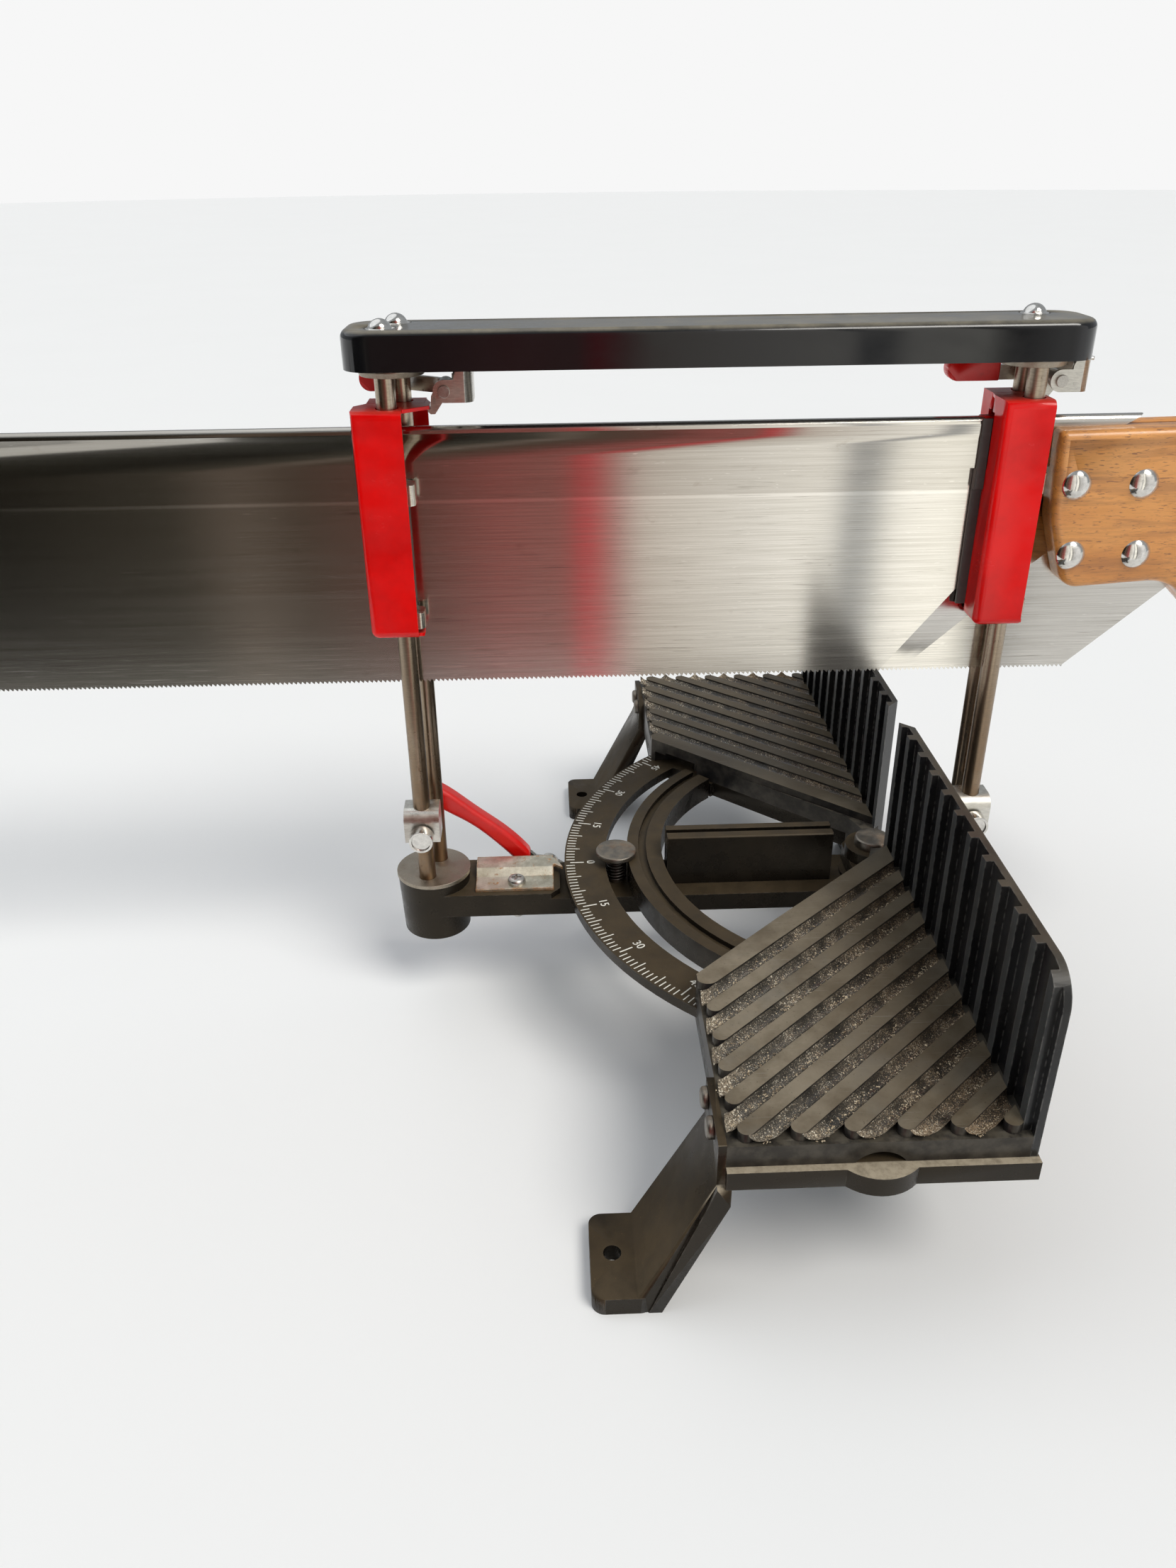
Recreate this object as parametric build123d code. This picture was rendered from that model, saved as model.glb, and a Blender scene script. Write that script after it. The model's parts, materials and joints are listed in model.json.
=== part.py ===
from build123d import *
import math
import os

os.makedirs("parts", exist_ok=True)

# Hand precision mitre saw.  Millimetres.  +X is the saw stroke at 0 degrees, towards the handle.
# +Y runs along the fence, +Z is up.  The bench is z = 0.
# Everything is drawn about the swing pivot and moved by PIVOT_X when it is written, so that the
# row's origin is midway between the two front bench holes, on the bench.

# ---- driving dimensions ----
PIVOT_X = 138.4          # front bench-hole line to swing pivot
FRONT_HOLE_Y = 182.0     # front bench holes, each side of the centre line
REAR_HOLE_X = 34.0       # rear bench holes, behind the pivot
REAR_HOLE_Y = 110.0
BENCH_HOLE_R = 3.5
FOOT_H = 8.0

RING_TOP = 70.0          # scale ring
RING_BOTTOM = 62.0
RING_T = 4.8             # thickness of the ring's outer part
RING_R = 152.0
SLOT_R_OUT = 132.0
SLOT_R_IN = 121.0
INNER_TOP = 74.0
INNER_R = 104.0
RING_HALF_DEG = 53.0

TABLE_TOP = 83.3         # tops of the table ribs
GROOVE_FLOOR = 79.3
TABLE_FRONT = -100.0
TABLE_END = 200.0
LEDGE = 3.0              # the frame stands out this far past the table's end
RIB_ANGLE = 42.5
RIB_PITCH = 17.0
RIB_FIRST_Y = 26.8
RIB_COUNT = 11
RIB_W = 6.3
EDGE_RIB_W = 10.0
INNER_CORNER = (-7.6, -21.2)

FENCE_FACE = 3.0         # front of the fence ribs
FENCE_WEB = 6.0
FENCE_BACK = 8.8
FENCE_TOP = 146.5
FENCE_GAP = 9.0          # half the gap that the blade swings through
FRAME_BACK = 9.5

BLADE_T = 1.0
TOOTH_LINE = 168.8
TOOTH_PITCH = 2.0
TOOTH_DEPTH = 1.3
TOE_X = -482.0
HEEL_X = 78.0
SPINE_BOTTOM = 260.7
SPINE_TOP = 281.4
SPINE_T = 6.0
SPINE_END = 91.4

ROD_R = 4.0
ROD_Y = 8.2
ROD_TOP = 312.0
ROD_FOOT = 46.0
LEFT_RODS = (-218.4, -213.9)     # x of the front and the rear rod
RIGHT_RODS = (41.6, 42.6)
COLUMN_R = 17.5
COLUMN_FOOT_R = 16.2
COLUMN_BOTTOM = 38.0
CAP_BOTTOM = 68.0
CAP_TOP = 70.0
BEAM_BOTTOM = 51.0
BEAM_TOP = 60.0
BEAM_PAD_TOP = 63.0
BEAM_HALF_W = 16.5

BAR_BOTTOM = 305.0
BAR_TOP = 320.0
BAR_X = (-234.3, 62.2)
BAR_HALF_W = 18.3
BAR_WALL = 3.0

GUIDE_BOTTOM = 195.5
GUIDE_TOP = 290.0
GUIDE_Y = 17.0           # outer face of each guide channel
GUIDE_T = 1.5
GUIDE_LEFT = 14.0        # from rod centre to the channel's closed side
GUIDE_RIGHT = (6.3, 9.5)         # from rod centre to its open side, front and rear half
GUIDE_INNER = 2.6        # half the gap between the two halves
RUN = 0.05               # radial running clearance

PIN_R = 7.0
PIN_HEAD_R = 8.6
FIT = 0.03               # radial clearance round screws and studs
THUMB_R = 5.5
CATCH_Z = 296.0          # rivet height
RIVET_R = 1.6
TAB_GAP = 6.5            # from rivet back to the edge of the guide's tab
COLUMNS = (              # side, rods, rivet past the front rod, end of the grip before the rear rod
    ("left", LEFT_RODS, 23.0, 17.4),
    ("right", RIGHT_RODS, 10.1, 30.6))
LINER_LIP = {"left": 1.8, "right": 4.0}      # how far the wear strips stand out on the closed side

BLADE_TOP = 278.4
HANDLE_SCREWS = [(63.6, 255.2), (91.8, 255.2), (66.4, 225.2), (94.6, 225.2)]
HANDLE_HALF_T = 13.0
HANDLE_OUTLINE = [       # x, z, corner radius
    (54, 276.8, 2), (124, 278, 60), (158, 294, 8), (176, 262, 40), (190, 206, 30), (184, 166, 12),
    (160, 156, 14), (134, 192, 30), (112, 213, 22), (66, 210, 9), (56, 240, 30)]
HAND_HOLE = [
    (131, 270, 6), (127, 244, 20), (136, 212, 24), (160, 178, 9), (170, 192, 9), (166, 222, 24), (152, 266, 9)]

STOP_BOTTOM = 93.3
STOP_TOP = 109.0
THUMB_Z = 97.5
CLIPS = ((199.0, 206.0), (252.0, 260.5))     # bottom and top of the bearing clips
LINER_GAP = 0.3

TABLE_SCREWS = [(-93, 140), (-93, 193), (-1, 193), (-1, 100)]
FENCE_SCREW_Y = (56, 108, 176)
LEG_SCREW_Y = (171, 186)
SCREW_R = 1.95
BLOCK_TOP = 86.5         # support block, just under the lowered teeth
CLAMP_X = -126.5
CLAMP_R = 4.0
POINTER_SCREW = (-175.6, -8.0)
BLOCK_SCREW_X = (-84, -38)
LOCK_X = -160.0
LOCK_Z = 56.5
LOCK_PIN_R = 2.5
LOCK_Y = (20.0, 23.0)


# ---- helpers ----
def block(x0, x1, y0, y1, z0, z1):
    return Pos((x0 + x1) / 2, (y0 + y1) / 2, (z0 + z1) / 2) * Box(x1 - x0, y1 - y0, z1 - z0)


def disc(x, y, z0, z1, r):
    return Pos(x, y, (z0 + z1) / 2) * Cylinder(r, z1 - z0)


def x_hole(x, y, z, depth, r):
    """Cylinder along X from x, 6 mm of it in front of the face for a clean cut."""
    start, end = (x - 6, x + depth) if depth > 0 else (x + depth, x + 6)
    return Pos((start + end) / 2, y, z) * Rot(0, 90, 0) * Cylinder(r, end - start)


def taper(x, y, z0, z1, r0, r1):
    return Pos(x, y, (z0 + z1) / 2) * Cone(r0, r1, z1 - z0)


def across(x, z, y0, y1, r):
    """Cylinder along Y."""
    return Pos(x, (y0 + y1) / 2, z) * Rot(90, 0, 0) * Cylinder(r, y1 - y0)


def plan(points, z0, z1):
    """Polygon in plan, pulled up from z0 to z1."""
    face = make_face(Polyline(*points, close=True))
    return Pos(0, 0, z0) * extrude(face, z1 - z0)


def profile(points, y0, y1):
    """Polygon of (x, z) points, pulled along Y from y0 to y1."""
    face = make_face(Polyline(*points, close=True))
    return extrude(Plane.XZ.offset(-y1) * face, y1 - y0)


def upright_edges(shape):
    return shape.edges().filter_by(Axis.Z)


def rounded_box(x0, x1, y0, y1, z0, z1, r):
    body = block(x0, x1, y0, y1, z0, z1)
    return fillet(upright_edges(body), r)


def far_side(shape):
    """The same piece on the far side of the saw's plane."""
    return mirror(shape, about=Plane.XZ)


def save(name, shape):
    export_step(Pos(PIVOT_X, 0, 0) * shape, f"parts/{name}.step")


def both_sides(name_near, name_far, shape):
    save(name_near, shape)
    save(name_far, far_side(shape))


# ---- base: frame, tables, fences, legs ----
def inner_edge_y(x, setback=0.0):
    """Near table's inner edge, which runs parallel to its ribs."""
    slope = math.tan(math.radians(RIB_ANGLE + 1.0))
    return INNER_CORNER[1] - setback + (x - INNER_CORNER[0]) * slope


def table_outline(end, back):
    """Plan of the near table, with the given end and back edges."""
    mitre = FENCE_GAP + back - FENCE_FACE
    return [
        (TABLE_FRONT, inner_edge_y(TABLE_FRONT)),
        INNER_CORNER,
        (FENCE_FACE - 6, -FENCE_GAP),
        (min(back, FENCE_FACE - 0.5), -FENCE_GAP),
        (back, -mitre),
        (back, -end),
        (TABLE_FRONT, -end),
    ]


def sector(r_out, r_in, half_deg, z0, z1):
    """Ring sector centred on -X."""
    ring = disc(0, 0, z0, z1, r_out) - disc(0, 0, z0 - 1, z1 + 1, r_in)
    reach = r_out * 1.5
    corner = (-reach * math.cos(math.radians(half_deg)), reach * math.sin(math.radians(half_deg)))
    wedge = plan([(0, 0), (corner[0], -corner[1]), (-reach, -reach), (-reach, reach), corner], z0, z1)
    return ring & wedge


def end_boss(z0, z1):
    """Half-round fixing pad in the middle of the table's end."""
    return disc(-46, -TABLE_END + 10, z0, z1, 18)


def base_frame():
    tier = plan(table_outline(TABLE_END + LEDGE, FRAME_BACK), RING_BOTTOM, RING_TOP)
    window = [(-88, -122), (-14, -54), (-8, -60), (-8, -188), (-88, -188)]
    near = tier + end_boss(RING_BOTTOM, RING_TOP) - plan(window, RING_BOTTOM - 1, RING_TOP + 1)
    outer = sector(RING_R, SLOT_R_OUT, RING_HALF_DEG, RING_TOP - RING_T, RING_TOP)
    inner = sector(SLOT_R_IN, INNER_R, RING_HALF_DEG - 6, RING_BOTTOM, RING_TOP)
    raised = sector(SLOT_R_IN, INNER_R, RING_HALF_DEG - 6, RING_TOP, INNER_TOP)
    channel = sector(115.5, 111.5, RING_HALF_DEG, INNER_TOP - 2.5, INNER_TOP + 1)
    bridge = sector(RING_R - 6, INNER_R, RING_HALF_DEG, RING_BOTTOM, RING_TOP)
    bridge = bridge - sector(RING_R, INNER_R - 1, RING_HALF_DEG - 5, RING_BOTTOM - 1, RING_TOP + 1)
    bridge = bridge & plan([(TABLE_FRONT, -300), (0, -300), (0, 300), (TABLE_FRONT, 300)], 0, 200)
    hub = plan([(-12, -11), (-5.5, -19), (-5.5, -24), (FRAME_BACK, -24), (FRAME_BACK, 24), (-5.5, 24), (-5.5, 19),
                (-12, 11)], RING_BOTTOM, RING_TOP)
    boss = disc(0, 0, RING_TOP, 76, 13)
    above = plan(table_outline(TABLE_END, FENCE_BACK), RING_TOP, 90)
    above = above + block(2.5, 20, -20, 20, RING_TOP, 90)
    above = above + far_side(above)
    frame = near + far_side(near) + outer + inner + bridge + hub
    frame = frame + (raised - channel - above) + (boss - above)
    frame = frame - disc(0, 0, 0, 200, PIN_R + RUN)
    for side in (-1, 1):
        for x, y in TABLE_SCREWS:
            frame = frame - disc(x, side * y, RING_BOTTOM - 1, RING_TOP + 1, SCREW_R + FIT)
        for y in (REAR_HOLE_Y - 8, REAR_HOLE_Y + 8):
            frame = frame - x_hole(FRAME_BACK, side * y, 66, -6, SCREW_R + FIT)
    return frame



def rib(start_y, width, inset):
    """One table rib, from the fence to its rounded front end."""
    angle = math.radians(RIB_ANGLE)
    half = width / 2 / math.cos(angle)
    centre_y = -start_y + half
    run_x = (FENCE_FACE - (TABLE_FRONT + inset)) / math.cos(angle)
    run_y = (TABLE_END - inset + centre_y) / math.sin(angle)
    length = max(min(run_x, run_y) - width / 2, 1.0)
    bar = Pos(-length / 2, 0, 0) * Box(length, width, TABLE_TOP - GROOVE_FLOOR + 1)
    bar = bar + Pos(-length, 0, 0) * Cylinder(width / 2, TABLE_TOP - GROOVE_FLOOR + 1)
    bar = bar + Pos(6, 0, 0) * Box(12, width, TABLE_TOP - GROOVE_FLOOR + 1)
    mid_z = (TABLE_TOP + GROOVE_FLOOR - 1) / 2
    return Pos(FENCE_FACE, centre_y, mid_z) * Rot(0, 0, RIB_ANGLE) * bar


def table_near():
    floor = plan(table_outline(TABLE_END, FENCE_WEB), RING_TOP, GROOVE_FLOOR)
    hollow = [(-96, -118), (-10, -37), (2, -30), (2, -196), (-96, -196)]
    floor = floor - plan(hollow, RING_TOP - 1, GROOVE_FLOOR - 3.3)
    for x, y in TABLE_SCREWS:
        floor = floor + disc(x, -y, RING_TOP, GROOVE_FLOOR, 5)
    ribs = rib(RIB_FIRST_Y, EDGE_RIB_W, 0.5)
    for k in range(1, RIB_COUNT):
        ribs = ribs + rib(RIB_FIRST_Y + k * RIB_PITCH, RIB_W, 2.5)
    top = ribs & plan(table_outline(TABLE_END - 1, FENCE_FACE), GROOVE_FLOOR - 1, TABLE_TOP)
    table = floor + top
    table = table - across(-46, RING_TOP - 6, -TABLE_END - 1, -TABLE_END + 8, 10.8)
    table = table - block(-98, -77, -108, -70, RING_TOP - 1, GROOVE_FLOOR - 3.3)
    table = table - sector(137.5, 115.5, 50.5, RING_TOP - 1, INNER_TOP + 3.4)
    table = table & plan(table_outline(TABLE_END, FENCE_WEB), RING_TOP, TABLE_TOP)
    for x, y in TABLE_SCREWS:
        table = table - disc(x, -y, RING_TOP - 1, RING_TOP + 6.2, SCREW_R + FIT)
    for y in FENCE_SCREW_Y:
        table = table - x_hole(FENCE_WEB, -y, 75, -8.2, SCREW_R + FIT)
    for y in LEG_SCREW_Y:
        table = table - x_hole(TABLE_FRONT, -y, 75, 6.2, SCREW_R + FIT)
    return table


def fence_near():
    web = block(FENCE_WEB, FENCE_BACK, -TABLE_END, -FENCE_GAP, RING_TOP, FENCE_TOP)
    ribs = block(FENCE_FACE, FENCE_WEB, -FENCE_GAP - 5, -FENCE_GAP, GROOVE_FLOOR, FENCE_TOP)
    for k in range(RIB_COUNT):
        y = -RIB_FIRST_Y - k * RIB_PITCH
        ribs = ribs + block(FENCE_FACE, FENCE_WEB, y, y + 4.5, GROOVE_FLOOR, FENCE_TOP)
    fence = web + ribs
    rear = FENCE_BACK - FENCE_FACE
    bevel = [(FENCE_FACE, -FENCE_GAP), (FENCE_BACK + 1, -FENCE_GAP - rear - 1), (FENCE_BACK + 1, 0), (0, 0)]
    fence = fence - plan(bevel, 0, 200)
    corner = block(0, 20, -TABLE_END - 1, -TABLE_END + 14, FENCE_TOP - 14, FENCE_TOP + 1)
    corner = corner - Pos(5, -TABLE_END + 14, FENCE_TOP - 14) * Rot(0, 90, 0) * Cylinder(14, 40)
    fence = fence - corner
    for y in FENCE_SCREW_Y:
        fence = fence - x_hole(FENCE_WEB, -y, 75, 6, SCREW_R + FIT)
    return fence


def foot(x0, x1, y0, y1, hole_x, hole_y):
    pad = rounded_box(x0, x1, y0, y1, 0, FOOT_H, 5)
    return pad - disc(hole_x, hole_y, -1, FOOT_H + 1, BENCH_HOLE_R)


def leg_front():
    """Splayed front leg with a stiffening rib along its outer side."""
    y0, y1 = -203.0, -163.0
    pad = foot(-147, -124, y0, y1, -138.4, -FRONT_HOLE_Y)
    strut = profile([(-133, 2), (-129, 0), (-123, 0), (-98, 57), (-98, 62), (-103, 62)], y0, y1)
    strut = strut & plan([(-132, y0), (-90, y0 + 3), (-90, y1 - 3), (-132, y1)], -1, 90)
    edge = profile([(-126, 0), (-121, 0), (-98, 54), (-98, 62), (-103, 62)], y0, y0 + 4)
    flange = block(-103, TABLE_FRONT, y0 + 3, y1 - 3, 60, 80)
    leg = pad + strut + edge + flange
    for y in LEG_SCREW_Y:
        leg = leg - x_hole(TABLE_FRONT, -y, 75, 6, SCREW_R + FIT)
    return leg


def leg_rear():
    """Short rear leg, tucked in behind the fence."""
    y0, y1 = -REAR_HOLE_Y - 15, -REAR_HOLE_Y + 15
    pad = foot(20, 44, y0, y1, REAR_HOLE_X, -REAR_HOLE_Y)
    strut = profile([(18, 0), (27, 0), (29, 3), (16, 62), (FRAME_BACK, 62), (8, 56)], y0, y1)
    flange = block(FRAME_BACK, FRAME_BACK + 3.5, y0, y1, 58, RING_TOP)
    leg = pad + strut + flange
    for y in (y0 + 7, y1 - 7):
        leg = leg - x_hole(FRAME_BACK, y, 66, 6, SCREW_R + FIT)
    return leg


def screw_z(x, y, seat, tip, head_r, shank_r, head_h):
    """Domed screw driven upwards, head under the seat."""
    head = disc(x, y, seat - head_h, seat, head_r)
    head = fillet(head.edges().group_by(Axis.Z)[0], head_h * 0.6)
    return head + disc(x, y, seat, tip, shank_r)


def screw_x(x, y, z, tip, head_r, shank_r, head_h):
    """Domed screw driven along X from its seat at x to its tip."""
    sign = 1 if tip > x else -1
    head = Cylinder(head_r, head_h)
    head = Pos(0, 0, -head_h / 2) * fillet(head.edges().group_by(Axis.Z)[0], head_h * 0.6)
    length = abs(tip - x)
    shank = Pos(0, 0, length / 2) * Cylinder(shank_r, length)
    return Pos(x, y, z) * Rot(0, 90 * sign, 0) * (head + shank)


def table_screws():
    group = []
    for side in (-1, 1):
        for x, y in TABLE_SCREWS:
            group.append(screw_z(x, side * y, RING_BOTTOM, RING_TOP + 6, 4.2, SCREW_R, 2.6))
    return Compound(children=group)


def fence_screws():
    group = []
    for side in (-1, 1):
        for y in FENCE_SCREW_Y:
            group.append(screw_x(FENCE_BACK, side * y, 75, -1.9, 4.2, SCREW_R, 2.6))
    return Compound(children=group)


def leg_screws():
    group = []
    for side in (-1, 1):
        for y in LEG_SCREW_Y:
            group.append(screw_x(TABLE_FRONT - 3, side * y, 75, -94.2, 4.2, SCREW_R, 2.6))
        for y in (REAR_HOLE_Y - 8, REAR_HOLE_Y + 8):
            group.append(screw_x(FRAME_BACK + 3.5, side * y, 66, FRAME_BACK - 5.8, 3.4, SCREW_R, 2.2))
    return Compound(children=group)


def build_base():
    save("base_frame", base_frame())
    both_sides("table_near", "table_far", table_near())
    both_sides("fence_near", "fence_far", fence_near())
    both_sides("leg_front_near", "leg_front_far", leg_front())
    both_sides("leg_rear_near", "leg_rear_far", leg_rear())
    save("table_screws", table_screws())
    save("fence_screws", fence_screws())
    save("leg_screws", leg_screws())


# ---- swing arm and what stands on it ----
def column_base(x):
    return taper(x, 0, COLUMN_BOTTOM, CAP_BOTTOM, COLUMN_FOOT_R, COLUMN_R)


def column_x(rods):
    return (rods[0] + rods[1]) / 2


def rod_places():
    """Name, x and y of the four guide rods."""
    return [
        ("rod_left_front", LEFT_RODS[0], -ROD_Y),
        ("rod_left_rear", LEFT_RODS[1], ROD_Y),
        ("rod_right_front", RIGHT_RODS[0], -ROD_Y),
        ("rod_right_rear", RIGHT_RODS[1], ROD_Y),
    ]


def swing_arm():
    left, right = column_x(LEFT_RODS), column_x(RIGHT_RODS)
    arm = block(left, right, -BEAM_HALF_W, BEAM_HALF_W, BEAM_BOTTOM, BEAM_TOP)
    pad = [(left, -BEAM_HALF_W), (-159, -BEAM_HALF_W), (-154.5, -11.5), (-154.5, 11.5), (-159, BEAM_HALF_W),
           (left, BEAM_HALF_W)]
    arm = arm + plan(pad, BEAM_TOP, BEAM_PAD_TOP)
    arm = arm - block(-112, -22, -9, 9, BEAM_BOTTOM - 1, BEAM_TOP - 4)
    arm = arm + column_base(left) + column_base(right)
    arm = arm + disc(0, 0, BEAM_BOTTOM - 3, BEAM_TOP + 1.7, 15)
    arm = arm - disc(0, 0, 0, 100, PIN_R)
    arm = arm - disc(CLAMP_X, 0, 0, 100, CLAMP_R + RUN)
    for name, x, y in rod_places():
        arm = arm - disc(x, y, ROD_FOOT, 100, ROD_R)
    arm = arm - disc(POINTER_SCREW[0], POINTER_SCREW[1], 0, 100, 2.5 + FIT)
    for x in BLOCK_SCREW_X:
        arm = arm - disc(x, 0, 0, 100, SCREW_R + FIT)
    return arm - across(LOCK_X, LOCK_Z, BEAM_HALF_W - 9, 40, LOCK_PIN_R)



def guide_rod(x, y):
    stem = disc(x, y, ROD_FOOT, ROD_TOP, ROD_R)
    return stem


def column_cap(rods):
    cap = disc(column_x(rods), 0, CAP_BOTTOM, CAP_TOP, COLUMN_R + 0.4)
    cap = cap - disc(rods[0], -ROD_Y, 0, 100, ROD_R)
    return cap - disc(rods[1], ROD_Y, 0, 100, ROD_R)


def bar_collars():
    group = []
    for rods in (LEFT_RODS, RIGHT_RODS):
        x = column_x(rods)
        collar = taper(x, 0, BAR_BOTTOM - 3.2, BAR_BOTTOM - 1.2, 12.9, 13.6)
        collar = collar + disc(x, 0, BAR_BOTTOM - 1.2, BAR_BOTTOM, 13.6)
        collar = collar - disc(rods[0], -ROD_Y, 0, 400, ROD_R)
        group.append(collar - disc(rods[1], ROD_Y, 0, 400, ROD_R))
    return Compound(children=group)


def nut_places():
    return [(LEFT_RODS[0], -ROD_Y), (LEFT_RODS[1], ROD_Y), (RIGHT_RODS[1], ROD_Y)]


def top_bar():
    bar = rounded_box(BAR_X[0], BAR_X[1], -BAR_HALF_W, BAR_HALF_W, BAR_BOTTOM, BAR_TOP, 13)
    bar = fillet(bar.faces().sort_by(Axis.Z)[-1].edges(), 3.5)
    inner_top = BAR_TOP - BAR_WALL
    hollow = rounded_box(
        BAR_X[0] + BAR_WALL, BAR_X[1] - BAR_WALL,
        -BAR_HALF_W + BAR_WALL, BAR_HALF_W - BAR_WALL, BAR_BOTTOM - 1, inner_top, 10)
    bar = bar - hollow
    for rods in (LEFT_RODS, RIGHT_RODS):
        bar = bar + disc(column_x(rods), 0, BAR_BOTTOM, BAR_TOP - 1, 14.5)
    for name, x, y in rod_places():
        bar = bar - disc(x, y, 0, ROD_TOP, ROD_R)
    for x, y in nut_places():
        bar = bar - disc(x, y, 0, 400, 2.5 + FIT)
        bar = bar - disc(x, y, BAR_TOP - 1.0, BAR_TOP + 1, 6.4)
    return bar


def dome_nuts():
    """Cap nuts with flanges, each with the stud it screws down on."""
    group = []
    seat = BAR_TOP - 1.0
    for x, y in nut_places():
        flange = disc(x, y, seat, seat + 1.0, 5.7)
        dome = Pos(x, y, seat - 0.27) * Sphere(4.87) & block(x - 6, x + 6, y - 6, y + 6, seat + 1, seat + 9)
        group.append(flange + dome + disc(x, y, ROD_TOP, seat, 2.5))
    return Compound(children=group)


def pointer():
    """Folded plate with the scale pointer at its inner end."""
    x0, x1 = -195.5, -157.5
    low, high, t = BEAM_PAD_TOP, BEAM_PAD_TOP + 2.9, 1.6
    section = [(-13.5, low), (-2, low), (2, high), (12, high), (12, high + t), (1.5, high + t),
               (-2.5, low + t), (-13.5, low + t)]
    face = make_face(Polyline(*section, close=True))
    plate = extrude(Plane.YZ.offset(x0) * face, x1 - x0)
    tip = plan([(x1 - 1, 3.2), (x1 - 1, 9.5), (x1 + 1, 9.5), (-152.9, 1.2), (-152.9, 0.2), (x1 + 1, 3.2)],
               high, high + t)
    plate = plate + tip
    return plate - disc(POINTER_SCREW[0], POINTER_SCREW[1], 0, 100, 2.5 + FIT)


def pointer_screw():
    x, y = POINTER_SCREW
    seat = BEAM_PAD_TOP + 1.6
    head = disc(x, y, seat, seat + 3.2, 4.4)
    head = fillet(head.edges().group_by(Axis.Z)[-1], 2.0)
    cross = block(x - 2.4, x + 2.4, y - 0.5, y + 0.5, seat + 1.8, seat + 4)
    cross = cross + block(x - 0.5, x + 0.5, y - 2.4, y + 2.4, seat + 1.8, seat + 4)
    return head - cross + disc(x, y, 46, seat, 2.5)


def support_block():
    """Grooved block under the cut, a little above the tables."""
    x0, x1, half = -102.0, -21.0, 6.3
    top = BLOCK_TOP
    body = block(x0, x1, -half, half, BEAM_TOP, top)
    body = chamfer(body.edges().filter_by(Axis.X).group_by(Axis.Z)[-1], 0.8)
    body = body - block(x0 - 1, x1 + 1, -1.4, 1.4, top - 5, top + 1)
    for x in BLOCK_SCREW_X:
        body = body - disc(x, 0, 0, TABLE_TOP - 12.3, SCREW_R + FIT)
    return body


def block_screws():
    group = []
    for x in BLOCK_SCREW_X:
        group.append(screw_z(x, 0, BEAM_TOP - 4, TABLE_TOP - 13, 3.8, SCREW_R, 2.4))
    return Compound(children=group)


def pivot_pin():
    """Headed pin that hangs the arm under the frame's hub."""
    head = disc(0, 0, 76, 80.5, PIN_HEAD_R)
    head = fillet(head.edges().group_by(Axis.Z)[-1], 1.2)
    return head + disc(0, 0, 41, 76, PIN_R)


def pivot_nut():
    washer = disc(0, 0, 46.4, 48, 12) - disc(0, 0, 0, 100, PIN_R)
    nut = Pos(0, 0, 41.4) * extrude(RegularPolygon(11, 6), 5) - disc(0, 0, 0, 100, PIN_R)
    return washer + nut


def build_arm():
    save("swing_arm", swing_arm())
    save("column_cap_left", column_cap(LEFT_RODS))
    save("column_cap_right", column_cap(RIGHT_RODS))
    for name, x, y in rod_places():
        save(name, guide_rod(x, y))
    save("bar_collars", bar_collars())
    save("top_bar", top_bar())
    save("dome_nuts", dome_nuts())
    save("pointer", pointer())
    save("pointer_screw", pointer_screw())
    save("support_block", support_block())
    save("block_screws", block_screws())
    save("pivot_pin", pivot_pin())
    save("pivot_nut", pivot_nut())


# ---- lock lever and clamp bolt ----
def lock_lever():
    """Steel lever beside the beam, with the eye it turns on and its cam toe."""
    y0, y1 = LOCK_Y
    arm = profile([(-163, 51.5), (-156, 51.5), (-154, 57.6), (-158.6, 60.2), (-166, 61.4), (-173, 68.5), (-190, 86),
                   (-193, 82), (-178, 66), (-170, 59)], y0, y1)
    toe = profile([(-160, 55), (-156, 51), (-148, 50), (-147, 53), (-155, 58)], y0, y1)
    eye = across(LOCK_X, LOCK_Z, y0, y1, 5.2)
    return arm + toe + eye - across(LOCK_X, LOCK_Z, 0, 40, LOCK_PIN_R + RUN)


def lock_grip():
    """Moulded grip over the lever's free end."""
    outline = Spline((-170, 66.5), (-181, 78.5), (-196, 91), (-212, 104), (-219, 107.5))
    lower = Spline((-223, 103), (-213, 92.5), (-200, 84), (-186, 71.5), (-177, 61.5))
    tip = ThreePointArc((-219, 107.5), (-224.5, 108), (-223, 103))
    heel = ThreePointArc((-177, 61.5), (-170.5, 60.5), (-170, 66.5))
    face = make_face([outline, tip, lower, heel])
    grip = extrude(Plane.XZ.offset(-LOCK_Y[1] - 3) * face, LOCK_Y[1] - LOCK_Y[0] + 6)
    grip = fillet(grip.edges(), 2.4)
    return grip - lock_lever()


def lock_pin():
    far_face = LOCK_Y[1] + 0.3
    pin = across(LOCK_X, LOCK_Z, BEAM_HALF_W - 9, far_face, LOCK_PIN_R)
    head = across(LOCK_X, LOCK_Z, far_face, far_face + 1.4, 4.4)
    spacer = across(LOCK_X, LOCK_Z, BEAM_HALF_W, LOCK_Y[0] - 0.3, 4.4)
    return pin + head + spacer


def clamp_bolt():
    """Flat-headed bolt that pinches the scale ring against the beam."""
    head = disc(CLAMP_X, 0, INNER_TOP + 0.6, INNER_TOP + 3.0, 9.9)
    head = fillet(head.edges().group_by(Axis.Z)[-1], 0.8)
    return head + disc(CLAMP_X, 0, BEAM_BOTTOM - 9, INNER_TOP + 0.6, CLAMP_R)


def clamp_nut():
    nut = Pos(CLAMP_X, 0, BEAM_BOTTOM - 7) * extrude(RegularPolygon(7.4, 6), 5)
    return nut - disc(CLAMP_X, 0, 0, 100, CLAMP_R)


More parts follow.
